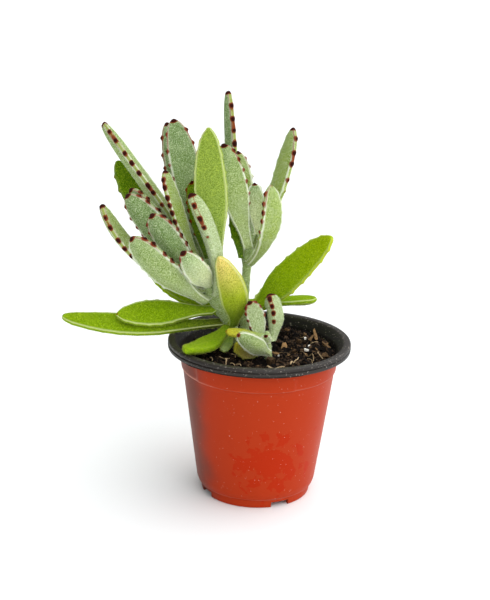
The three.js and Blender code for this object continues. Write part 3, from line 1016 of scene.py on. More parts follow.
@dataclass
class Shoot:
    """A felted stem and the leaves that it carries."""

    name: str
    path: list[Place]  # mm
    radius: tuple[float, float]  # mm, at its foot and at its end
    leaves: list[Leaf]
    foot: str = "#98aa62"  # its colour at the foot
    end: str = "#b6ca8e"  # and at the end
    ring_every: float = 5.5  # mm between the swollen rings of fallen leaves
    ring_swell: float = 0.22  # mm
    around: int = 20

    def build_stem(self) -> bpy.types.Object:
        """Makes the stem: a round tapered stalk with swollen leaf rings and a domed end.

        Returns:
            The stem.
        """
        line = catmull_rom(self.path)
        steps = np.concatenate([[0], np.cumsum(np.linalg.norm(np.diff(line, axis=0), axis=1))])
        length = float(steps[-1])
        reach = np.arange(0, length, 0.6)
        middle = np.stack([np.interp(reach, steps, line[:, i]) for i in range(3)], axis=1)
        radius = np.interp(reach, [0, length], self.radius)
        phase = (reach / self.ring_every) % 1
        radius = radius + self.ring_swell * np.exp(-(((phase - 0.5) * self.ring_every / 0.7) ** 2))
        radius = radius * np.sqrt(np.clip((length + 0.2 - reach) / 2.0, 0.02, 1))
        grain = 1 + 0.025 * np.sin(3 * ring_angles(self.around) + reach[:, None] * 0.4)
        points, faces = tube(middle, (0.0, 1.0, 0.0), radius[:, None] * grain, self.around)
        piece = make_mesh("felted_stem_" + self.name, points, faces)
        share = np.concatenate([np.repeat(reach / length, self.around), [0.0, 1.0]])
        scar = np.concatenate([np.repeat(np.exp(-(((phase - 0.5) * 9) ** 2)), self.around), [0.0, 0.0]])
        low, high = (np.array(linear(c)) for c in (self.foot, self.end))
        set_values(piece, "tint", low + (high - low) * share[:, None])
        set_values(piece, "blush", 0.5 * scar * (1 - share))
        for name in ("band", "corner", "spot"):
            set_values(piece, name, 0 * share)
        set_values(piece, "fuzz", np.where(points[:, 2] > PottingMix.LEVEL - 1, 1.3, 0))
        return piece

    def build(
        self, coats: dict[str, HairCoat], felt: dict[str, bpy.types.Material], seed: int
    ) -> None:
        """Makes the stem and its leaves, plants their hairs and hands them to the frame.

        Args:
            coats: The coats of hairs, by the name of the slot that wears them.
            felt: The felted skins, by the name of their slot.
            seed: Sets their random draws.
        """
        stem_line = catmull_rom(self.path)
        stem = self.build_stem()
        stem.data.materials.append(felt["stem"])
        coats["stem"].grow(stem, seed)
        hand_over(stem, "stem", "stem_" + self.name)
        for number, leaf in enumerate(self.leaves):
            slot = "leaf" if leaf.tone in (SILVER, SAGE, MEADOW, FROSTED, YOUNG) else "leaf_green"
            piece = leaf.build(stem_line, seed + number)
            piece.data.materials.append(felt[slot])
            coats[slot].grow(piece, seed + number)
            hand_over(piece, slot, "leaf_" + leaf.name)


MAIN_PATH = [
    (-9, 15, 55), (-12, 14, 72), (-15, 12.5, 82), (-20, 11, 90), (-24, 9.5, 97), (-26, 8.5, 104),
    (-27, 8, 116),
]
RIGHT_PATH = [(-6, 21, 56), (-7, 20.5, 72), (-8, 20, 86), (-7.5, 20, 102), (-6.5, 20, 120), (-6, 20, 128)]
OFFSET_PATH = [(4, -6, 58), (4.5, -8, 72), (4, -8, 79), (3.5, -7, 85)]


def rosette_leaves() -> list[Leaf]:
    """Lists the leaves of the big rosette, on the main stem's upper part.

    Returns:
        The leaves.
    """
    return [
        Leaf("rosette_01", (-62, -8, 130), 15, 4, 0, (0, 1, 0.4), 6, SAGE, (1, 0), 0.8, spots_from=0.45),
        Leaf(
            "rosette_02", (-78, 10, 141), 14, 8, 0, (0.8, -0.2, 1), 7, MEADOW, (1, 0.5),
            swell=-0.6, band=0.9,
        ),
        Leaf("rosette_03", (-53.2, -2, 140), 13.5, 1, 0, (0, 1, 0.2), 6, SILVER, (0.9, 0.95)),
        Leaf("rosette_04", (-66, 12, 146), 14, 1, 0, (0.1, 1, 0), 6, SILVER, (0.9, 0.9), 1.1),
        Leaf("rosette_05", (-65, 20, 147), 12, 0, 0, (-0.3, -1, -0.4), 6, SILVER, (0.9, 1)),
        Leaf(
            "rosette_06", (-80.3, 44, 175), 13, -1.5, 0, (1, 0, 0.8), 8, SAGE, (1, 0.35),
            taper=1.8, swell=-2, keel=4.2, band=1,
        ),
        Leaf("rosette_07", (-74, 46, 155), 15, 5, 0, (0.4, -1, 0.4), 6, DEEP, (0.5, 0.4), 0.1),
        Leaf(
            "rosette_08", (-37.8, -12, 124.7), 11.5, 3, 0, (-0.6, 1, 0.6), 3, YOUNG, (0.75, 0.75),
            full_at=0.45, tooth_height=0.4, spots_from=0.5,
        ),
        Leaf("rosette_09", (-45, 30, 180), 15.5, 3, 0, (0.1, -1, 0.3), 7, SILVER, (0.95, 1)),
        Leaf("rosette_10", (-49, 42, 176), 14, 4, 0, (0.1, -1, 0.3), 7, SILVER, (1, 1)),
        Leaf("rosette_11", (-48, 13, 158), 11, 1, 0, (1, -0.5, 0.4), 7, MEADOW, (1, 0), band=0.5),
        Leaf(
            "rosette_12", (-27, 5, 180.2), 15.5, -1.5, 0.8, (-0.1, -1, 0.2), 6, BRIGHT, (0.5, 0), 0,
            taper=1.8, tooth_height=0.3, point=0.6,
        ),
        Leaf("rosette_13", (-35, 18, 152), 11, 1, 0, (-0.3, -1, 0.2), 5, DEEP, (0.9, 0.9), 0.8),
        Leaf(
            "rosette_14", (-34.5, -9, 152), 12, 4, 0, (-1, 0.05, -0.1), 6, FROSTED, (0, 1),
            tooth_height=0.4, swell=2.4, keel=3.2, band=0.1, corner=0.15, spots_from=0.6,
        ),
        Leaf("rosette_15", (-46, 60, 130), 14, 5, 0, (0, -1, 0.6), 6, SILVER, (0.8, 0.8)),
    ]


def low_leaves() -> list[Leaf]:
    """Lists the older green leaves, on the main stem's lower part.

    Returns:
        The leaves.
    """
    return [
        Leaf(
            "low_01", (-70, 2, 88), 14, -0.3, 0, (0, -1, 1), 5, LIME, (0.05, 0.35), 0.4,
            taper=1.8, tooth_height=0.35,
        ),
        Leaf(
            "low_02", (-97, 6, 85), 13, -1.7, 5, (0, -0.6, 1), 6, SHADED, (0, 0.2), 0.1,
            taper=1.6, tooth_height=0.2,
        ),
        Leaf(
            "low_03", (-34.8, -29, 82), 12, 3, 0, (0.4, 0.8, 0.6), 4, LIME, (0, 0), 0.1,
            full_at=0.55, taper=2, tooth_height=0.2, band=0, corner=0,
        ),
        Leaf(
            "low_04", (-56, 27, 108), 15, 3, 0, (0.3, -0.6, 1), 5, OLIVE, (0.2, 0.2), 0.2,
            tooth_height=0.35, band=0.2,
        ),
        Leaf(
            "low_05", (-20.5, -7, 121), 13.5, 3, 3.7, (0, 1, 0.3), 3, YELLOWING, (0, 0), 0,
            full_at=0.45, taper=2, tooth_height=0.2,
        ),
        Leaf("low_06", (-31, 57, 97), 14, 3, 0, (0, -0.3, 1), 5, LIME, (0.3, 0.3), 0.3),
        Leaf("low_07", (-17.3, -12, 75.6), 5, 0, 0, (0, -0.5, 1), 2, MOSSY, (0, 0), 0),
    ]


def right_leaves() -> list[Leaf]:
    """Lists the leaves of the tall right-hand shoot.

    Returns:
        The leaves.
    """
    return [
        Leaf("right_01", (-18.5, 46, 192), 12, 0, -5, (1, 0.4, 0), 8, SILVER, (1.05, 0.6), band=1),
        Leaf("right_02", (-20, 17, 171), 14, 1, 0, (0.2, -1, 0.2), 6, SAGE, (0, 1)),
        Leaf("right_03", (-13, 30, 165), 11, 0, 0, (0, -1, 0.2), 6, MEADOW, (0.4, 0.6)),
        Leaf("right_04", (-4.5, 22.5, 151), 9, 0, 0, (0, -1, 0.2), 3, YOUNG, (0, 0), 0.9, taper=1.8),
        Leaf("right_05", (3.3, 13, 152), 12, 7, 0, (-0.8, 1, 0.3), 6, MEADOW, (0, 0.8), 0.4),
        Leaf(
            "right_06", (14, 32, 177), 11.5, 1, -1.5, (-1, -0.7, 0.4), 6, MEADOW, (0.5, 1),
            band=0.3, spots_from=0.5,
        ),
        Leaf("right_07", (-14.8, 22, 138), 6, 0, 0, (0, -1, 0.2), 3, DEEP, (0, 0), 0),
        Leaf(
            "right_08", (33, 2, 130), 16.5, 1, 1.5, (-0.9, -1, 0.4), 5, OLIVE, (0.42, 0.15), 0.2,
            full_at=0.45, taper=2, tooth_height=0.55,
        ),
        Leaf("right_09", (28, 24, 92), 11, 0, 0, (0, 0, 1), 4, LIME, (0.1, 0.1), 0.2, tooth_height=0.2),
        Leaf("right_10", (-6, 50, 138), 8.5, 4, 0, (0, -1, 0.5), 6, SILVER, (0.8, 0.8)),
        Leaf("right_11", (16, 52, 97), 14, 3, 0, (0, -0.3, 1), 5, LIME, (0.3, 0.3), 0.3),
    ]


def offset_leaves() -> list[Leaf]:
    """Lists the small leaves of the young shoot at the front.

    Returns:
        The leaves.
    """
    return [
        Leaf("offset_01", (-5.6, -7, 99.3), 9, 1, -1.5, (0.3, -1, 0.2), 4, FROSTED, (1, 0.8)),
        Leaf(
            "offset_02", (4, 0, 101), 10, 2.2, 0, (-1, 0.1, -0.1), 4, FROSTED, (0, 1),
            tooth_height=0.2, swell=2.6, keel=3.6, band=0.05, corner=0.1,
        ),
        Leaf(
            "offset_03", (-10.5, -23, 88), 9, 1.5, 0, (-0.5, 0.8, 0.2), 3, SAGE, (0, 0), 0.6,
            full_at=0.5, tooth_height=0.1,
        ),
        Leaf("offset_04", (2.8, -15, 85.3), 5, 0.5, 0, (0, 1, 0.4), 2, YOUNG, (0, 0), 0.9),
        Leaf("offset_05", (-16.2, -11.5, 85.3), 8, 0, 0, (0, -0.2, 1), 2, DYING, (0, 0), 0.45),
        Leaf("offset_06", (-11.4, -17.5, 81.2), 8.5, 0.5, 1.5, (0, -1, 0.25), 2, WITHERED, (0, 0), 0.1),
    ]


@dataclass(frozen=True)
class StyreneFinish(Finish):
    """Thermoformed polystyrene sheet: satin, with clouds of wear, painted shade over the side away from the
    light, damp marks, dust, and scuffed corners and creases that carry painted highlights.
    """

    colour: str
    # colour of wear; on the red sheet it is painted shade over the side away from the key light
    wear_and_painted_shade: str
    stain: str
    # colour of scuffs, which also paints highlights along the collar's step and creases
    scuff_and_painted_highlight: str
    dust: str
    dirt: str
    roughness: float
    shine: float
    haze: float = 0.0  # how strongly thin dust whitens it where it is seen at a slant
    dusty_from: float = 0.715  # the lower, the more dust specks
    cloud_size: float = 22.0  # mm
    stain_size: float = 7.0  # mm
    ripple_size: float = 6.0  # mm
    speck_size: float = 1.0  # mm

    def material(self) -> bpy.types.Material:
        """Builds the moulded sheet's material, which gives the eye a used pot and not a new one.

        Returns:
            The material.
        """
        made, tree, place = self.start()
        given = {
            name: add(tree, "ShaderNodeAttribute", attribute_name=name).outputs["Fac"]
            for name in ("stain", "wear_and_painted_shade", "scuff_and_painted_highlight", "dirt")
        }
        noises = (
            (self.cloud_size, 3.0, 0.5),
            (self.stain_size, 7.0, 0.6),
            (self.ripple_size, 2.0, 0.5),
            (self.speck_size, 2.0, 0.7),
        )
        patterns = (
            {"Vector": place, "Scale": 1 / (size * MM), "Detail": detail, "Roughness": rough}
            for size, detail, rough in noises
        )
        clouds, marks, ripple, specks = (
            add(tree, "ShaderNodeTexNoise", pattern).outputs["Fac"] for pattern in patterns
        )
        # Each mark shows where its pattern, raised or lowered by the piece's own value, passes a limit.
        damp, soiled, scuffed_and_highlighted, shade_and_wear = (
            add(tree, "ShaderNodeMath", dict(enumerate(terms)), operation=operation).outputs[0]
            for operation, *terms in (
                ("MULTIPLY_ADD", given["stain"], 0.35, marks),
                ("MULTIPLY", given["dirt"], marks),
                ("MULTIPLY", given["scuff_and_painted_highlight"], clouds),
                ("ADD", given["wear_and_painted_shade"], clouds),
            )
        )
        layers = (
            # Painted shade over the side away from the key light, and wear on the black rim.
            Layer(shade_and_wear, 0.75, 1.45, 0.95, self.wear_and_painted_shade),
            Layer(damp, 0.72, 0.745, 0.7, self.stain),
            # Scuffs, with painted highlights along the collar's step and creases.
            Layer(scuffed_and_highlighted, 0.2, 0.6, 0.8, self.scuff_and_painted_highlight),
            Layer(soiled, 0.3, 0.6, 0.9, self.dirt),
            Layer(specks, self.dusty_from, self.dusty_from + 0.03, 0.8, self.dust),
            Layer(specks, 0.27, 0.24, 0.6, self.dirt),
        )
        wear = add(
            tree,
            "ShaderNodeMapRange",
            {"Value": clouds, "To Min": self.roughness - 0.08, "To Max": self.roughness + 0.12},
        )
        bump = add(tree, "ShaderNodeBump", {"Height": ripple, "Strength": 0.15, "Distance": 0.4 * MM})
        sheet = add(
            tree,
            "ShaderNodeBsdfPrincipled",
            {
                "Base Color": lay_colours(tree, linear(self.colour), layers),
                "Roughness": wear.outputs["Result"],
                "Specular IOR Level": self.shine,
                "Sheen Weight": self.haze,
                "Sheen Roughness": 0.4,
                "Sheen Tint": linear(self.dust),
                "Normal": bump.outputs["Normal"],
            },
        )
        add(tree, "ShaderNodeOutputMaterial", {"Surface": sheet.outputs[0]})
        return made


@dataclass
class NurseryPot:
    """A thermoformed two-colour pot: brick-red outside, black rolled rim and inside. Sizes in mm."""

    height: float = 78.5
    rim_radius: float = 45.0  # the size class: 9 cm across
    rim_depth: float = 4.0
    mouth_radius: float = 41.5
    collar_top: float = 39.4
    collar_foot_radius: float = 38.1
    collar_foot: float = 64.6
    wall_top: float = 37.4
    wall_foot_radius: float = 29.6
    wall_foot: float = 7.6
    foot_radius: float = 27.0
    foot_height: float = 4.4
    hub_radius: float = 8.0
    floor_underside: float = 3.4
    floor_top: float = 4.8
    wall: float = 1.2
    panel_proud: float = 0.6
    panel_from: float = -140.0  # degrees, and so are panel_to and notch_first
    panel_to: float = -63.0
    notch_height: float = 2.8
    notch_width: float = 9.5
    notch_first: float = -63.0
    notch_count: int = 4
    drain_radius: float = 1.7
    drain_ring: float = 18.0
    drain_count: int = 8
    around: int = 240  # points in each ring of the shell

    def outline(self) -> list[tuple[float, float, float]]:
        """Lists the section's corners from the middle of the underside, up the outside and down the inside.

        Returns:
            Radius, height and rounding of each corner.
        """
        foot = self.height - self.rim_depth
        rim, wall = self.rim_radius, self.wall
        return [
            (self.hub_radius, 0.0, 0.4),
            (self.hub_radius + 0.6, self.floor_underside, 0.4),
            (self.foot_radius - 1.9, self.floor_underside, 0.4),
            (self.foot_radius - 1.6, 0.0, 0.5),
            (self.foot_radius, 0.0, 0.6),
            (self.foot_radius + 0.4, self.foot_height, 0.4),
            (self.wall_foot_radius - 0.9, self.foot_height + 0.5, 0.7),
            (self.wall_foot_radius, self.wall_foot, 0.9),
            (self.wall_top - 0.03, self.collar_foot - 0.6, 0.3),
            (self.collar_foot_radius, self.collar_foot, 0.35),
            (self.collar_top, foot, 0.4),
            (rim - 0.2, foot - 0.1, 0.35),
            (rim, foot + 1.5, 0.5),
            (rim - 0.75, foot + 1.9, 0.25),
            (rim + 0.05, foot + 2.5, 0.5),
            (rim - 0.35, self.height, 0.9),
            (self.mouth_radius, self.height, 0.8),
            (self.collar_top - 0.9, foot - 0.3, 1.0),
            (self.collar_top - wall, foot - 2.0, 0.6),
            (self.wall_top - wall, self.collar_foot, 0.8),
            (self.wall_foot_radius - wall, self.wall_foot, 1.0),
            (self.wall_foot_radius - 2 * wall, self.floor_top, 0.8),
        ]

    def profile(self) -> Points:
        """Rounds the section's corners with short arcs.

        Returns:
            Radius and height of each point of the section.
        """
        corners = np.array([(r, z) for r, z, _ in self.outline()])
        before = np.vstack([[0.0, corners[0][1]], corners[:-1]])
        after = np.vstack([corners[1:], [0.0, self.floor_top]])
        points = [(0.0, corners[0][1])]
        for here, a, b, (_, _, radius) in zip(corners, before, after, self.outline()):
            reach = min(radius, 0.45 * np.linalg.norm(here - a), 0.45 * np.linalg.norm(b - here))
            start, end = here + unit(a - here) * reach, here + unit(b - here) * reach
            for t in (0.0, 0.25, 0.5, 0.75, 1.0):
                points.append(tuple((1 - t) ** 2 * start + 2 * t * (1 - t) * here + t**2 * end))
        points.append((0.0, self.floor_top))
        return np.array(self.with_steps(points))

    def with_steps(self, points: list[tuple[float, float]], step: float = 3.0) -> list[tuple[float, float]]:
        """Adds points along the long straight stretches, so that marks and shading follow them.

        Args:
            points: Radius and height of each point, in mm.
            step: The furthest that two may lie apart.

        Returns:
            The fuller list.
        """
        filled = [points[0]]
        for a, b in zip(points, points[1:]):
            count = max(1, math.ceil(math.dist(a, b) / step))
            for i in range(1, count + 1):
                filled.append((a[0] + (b[0] - a[0]) * i / count, a[1] + (b[1] - a[1]) * i / count))
        return filled

    def panel(self, degrees: Points) -> Points:
        """Says how far the collar's two raised panels stand out at an angle, from 0 to 1.

        Args:
            degrees: The angles.

        Returns:
            The share at each.
        """
        out = np.zeros_like(degrees)
        for turn in (0, 180):
            low, high = self.panel_from + turn, self.panel_to + turn
            away = (degrees - (low + high) / 2 + 180) % 360 - 180
            half = (high - low) / 2
            out = np.maximum(out, 1 - smoothstep(np.abs(away), half - 1.2, half + 0.6))
        return out

    def build(self, red: bpy.types.Material, black: bpy.types.Material) -> bpy.types.Object:
        """Makes the pot's closed shell, with its notches and drain holes cut.

        Args:
            red: The outer layer of the sheet.
            black: The inner layer, which also covers the rim.

        Returns:
            The pot.
        """
        profile = self.profile()[1:-1]
        angles = ring_angles(self.around)
        radius, height = profile[:, :1], profile[:, 1:]
        rows, foot_of_rim = len(profile), self.height - self.rim_depth
        outside = np.arange(rows)[:, None] < int(np.argmax(profile[:, 0]))
        collar = smoothstep(height, self.collar_foot - 0.9, self.collar_foot - 0.1)
        collar = collar * (1 - smoothstep(height, foot_of_rim - 0.1, foot_of_rim))
        bulge = self.panel_proud * self.panel(np.degrees(angles))[None] * np.where(outside, collar, 0)
        wobble = 0.12 * np.sin(2 * angles + 0.6)[None] + 0.07 * np.sin(5 * angles + height * 0.05)
        wobble = wobble * smoothstep(height, 8, 30) * (1 - smoothstep(height, 60, 66))
        wide = radius + bulge + wobble
        points = np.stack([wide * np.cos(angles), wide * np.sin(angles), height + 0 * wide], axis=-1)
        ends = np.array([[0, 0, profile[0, 1]], [0, 0, profile[-1, 1]]])
        skin = np.concatenate([points.reshape(-1, 3), ends])
        piece = make_mesh("nursery_pot", skin, skin_faces(rows, self.around))
        piece.data.materials.append(red)
        piece.data.materials.append(black)
        first_black = next(i for i in range(rows) if profile[i, 1] > foot_of_rim - 0.02)
        for face in piece.data.polygons:
            row = min(face.vertices) // self.around
            floor = rows * self.around + 1 in face.vertices[:]
            face.material_index = int(floor or (len(face.vertices) == 4 and row >= first_black))
        self.cut(piece)
        self.mark_wear_and_painted_light(piece)
        return piece

    def cut(self, piece: bpy.types.Object) -> None:
        """Cuts the foot ring's notches and the drain holes out of the shell.

        Args:
            piece: The shell, which is changed.
        """
        cutters = bmesh.new()
        for i in range(self.notch_count):
            turn = Matrix.Rotation(math.radians(self.notch_first + 360 / self.notch_count * i), 4, "Z")
            size = Matrix.Diagonal((6 * MM, self.notch_width * MM, 2 * self.notch_height * MM, 1))
            place = Matrix.Translation((self.foot_radius * MM, 0, 0))
            bmesh.ops.create_cube(cutters, size=1, matrix=turn @ place @ size)
        for i in range(self.drain_count):
            degrees = 360 / self.drain_count * (i + 0.5) + self.notch_first
            turn = Matrix.Rotation(math.radians(degrees), 4, "Z")
            place = Matrix.Translation((self.drain_ring * MM, 0, self.floor_top * MM))
            bmesh.ops.create_cone(
                cutters,
                cap_ends=True,
                segments=24,
                radius1=self.drain_radius * MM,
                radius2=self.drain_radius * MM,
                depth=4 * MM,
                matrix=turn @ place,
            )
        mesh = bpy.data.meshes.new("pot_cutters")
        cutters.to_mesh(mesh)
        cutters.free()
        tool = put_in_scene("pot_cutters", mesh)
        boolean = piece.modifiers.new("cuts", "BOOLEAN")
        boolean.operation = "DIFFERENCE"
        boolean.solver = "EXACT"
        boolean.object = tool
        bake_modifiers(piece)
        bpy.data.objects.remove(tool)
        piece.data.set_sharp_from_angle(angle=math.radians(50))

    def mark_wear_and_painted_light(self, piece: bpy.types.Object) -> None:
        """Says where the wall is damp, marked by wear and by painted shade, scuffed and lit by painted
        highlights, and soiled, as values that its materials read.

        Args:
            piece: The pot.
        """
        points = np.array([v.co for v in piece.data.vertices]) / MM
        radius, height = np.hypot(points[:, 0], points[:, 1]), points[:, 2]
        degrees = np.degrees(np.arctan2(points[:, 1], points[:, 0]))
        below = height < self.collar_foot
        front = np.exp(-(((degrees + 80) / 40) ** 2))
        set_values(piece, "stain", front * np.exp(-(((height - 24) / 18) ** 2)) * below)
        # This side faces away from the key light: it gets painted shade, and its painted highlights are
        # stronger.
        shaded_side = smoothstep(np.abs((degrees + 360) % 360 - 180), 75, 15)
        foot_of_rim = self.height - self.rim_depth
        rim = (height > foot_of_rim - 0.5) & (radius > self.mouth_radius - 0.5)
        # Painted shade on the shaded side below the rim, and wear on the rim.
        set_values(piece, "wear_and_painted_shade", np.maximum(shaded_side * (height < foot_of_rim), rim))
        outside = smoothstep(radius, self.wall_foot_radius - 4, self.wall_foot_radius - 2)
        # A painted highlight along the collar's step.
        step = np.exp(-(((height - self.collar_foot) / 0.7) ** 2)) * (0.65 + 0.35 * shaded_side)
        foot = 0.7 * np.exp(-(((height - self.foot_height) / 0.8) ** 2))
        # Painted highlights along the creases at the panels' ends.
        crease = np.zeros_like(degrees)
        for turn in (self.panel_from, self.panel_to, self.panel_from + 180, self.panel_to + 180):
            away = (degrees - turn + 180) % 360 - 180
            crease = np.maximum(crease, np.exp(-((away / 1.3) ** 2)))
        crease = (0.3 + 0.5 * shaded_side) * crease * smoothstep(height, self.collar_foot - 1, self.collar_foot)
        set_values(piece, "scuff_and_painted_highlight", np.maximum(np.maximum(step, foot), crease) * outside)
        heights = [self.wall_foot, self.collar_foot, foot_of_rim, self.height]
        radii = [self.wall_foot_radius, self.wall_top, self.collar_top, self.rim_radius]
        skin = np.interp(height, heights, radii)
        inside = (radius < skin - 0.6 * self.wall) & (height > self.collar_foot - 5)
        set_values(piece, "dirt", 0.55 * inside * smoothstep(height, self.height, foot_of_rim - 2))


@dataclass(frozen=True)
class LooseMatterFinish(Finish):
    """Loose matter, such as peat, bark, straw or perlite: rough and matt, each bit in its own shade."""

    dark: str
    light: str
    grain: float = 0.9  # mm
    roughness: float = 0.95
    shine: float = 0.15
    bump: float = 0.6

    def material(self) -> bpy.types.Material:
        """Builds the matter's material, which gives the eye crumbs that differ from one another.

        Returns:
            The material.
        """
        made, tree, place = self.start()
        pattern = {"Vector": place, "Scale": 1 / (self.grain * MM), "Detail": 4.0, "Roughness": 0.7}
        grain = add(tree, "ShaderNodeTexNoise", pattern).outputs["Fac"]
        bit = add(tree, "ShaderNodeAttribute", attribute_name="bit").outputs["Fac"]
        mixed = add(tree, "ShaderNodeMath", {0: grain, 1: bit}, operation="MULTIPLY")
        share = add(
            tree,
            "ShaderNodeMapRange",
            {"Value": mixed.outputs[0], "From Min": 0.16, "From Max": 0.7},
            interpolation_type="SMOOTHSTEP",
        )
        blend = {0: share.outputs["Result"], 6: linear(self.dark), 7: linear(self.light)}
        colour = add(tree, "ShaderNodeMix", blend, data_type="RGBA").outputs[2]
        bump = add(tree, "ShaderNodeBump", {"Height": grain, "Strength": self.bump, "Distance": 0.3 * MM})
        matter = add(
            tree,
            "ShaderNodeBsdfPrincipled",
            {
                "Base Color": colour,
                "Roughness": self.roughness,
                "Specular IOR Level": self.shine,
                "Normal": bump.outputs["Normal"],
            },
        )
        add(tree, "ShaderNodeOutputMaterial", {"Surface": matter.outputs[0]})
        return made


@dataclass(frozen=True)
class Crumbs:
    """One sort of crumb that lies over the potting mix. Sizes in mm."""

    name: str
    radius: float
    per_square_mm: float
    seed: int
    rounding: int = 1  # how often its faces are divided
    thickness: float = 0.75  # as a share of its width
    shapes: int = 5


@dataclass(frozen=True)
class Twig:
    """A thin root, straw or twig that lies on the potting mix, from one place to another. Sizes in mm."""

    start: tuple[float, float]
    end: tuple[float, float]
    arch: float = 0.4
    radius: float = 0.3
    bit: float = 1.0  # how light it is
    sway: float = 0.6


@dataclass(frozen=True)
class Chip:
    """A flat broken chip of bark or wood. Sizes in mm, turns in degrees."""

    place: tuple[float, float]
    size: tuple[float, float, float]
    turn: float
    tilt: float = 15.0
    bit: float = 1.0
    lift: float = 0.6


def join_bits(name: str, bodies: list[tuple[Points, Faces, float]], smooth: bool) -> bpy.types.Object:
    """Makes one piece of many small bodies, each in its own shade.

    Args:
        name: The piece's name.
        bodies: The points in mm, the faces and the lightness of each.
        smooth: Whether they are shaded as curved surfaces.

    Returns:
        The piece.
    """
    faces: Faces = []
    first = 0
    for points, skin, _ in bodies:
        faces += [tuple(first + i for i in face) for face in skin]
        first += len(points)
    piece = make_mesh(name, np.concatenate([points for points, _, _ in bodies]), faces, smooth)
    set_values(piece, "bit", np.concatenate([np.full(len(points), bit) for points, _, bit in bodies]))
    return piece


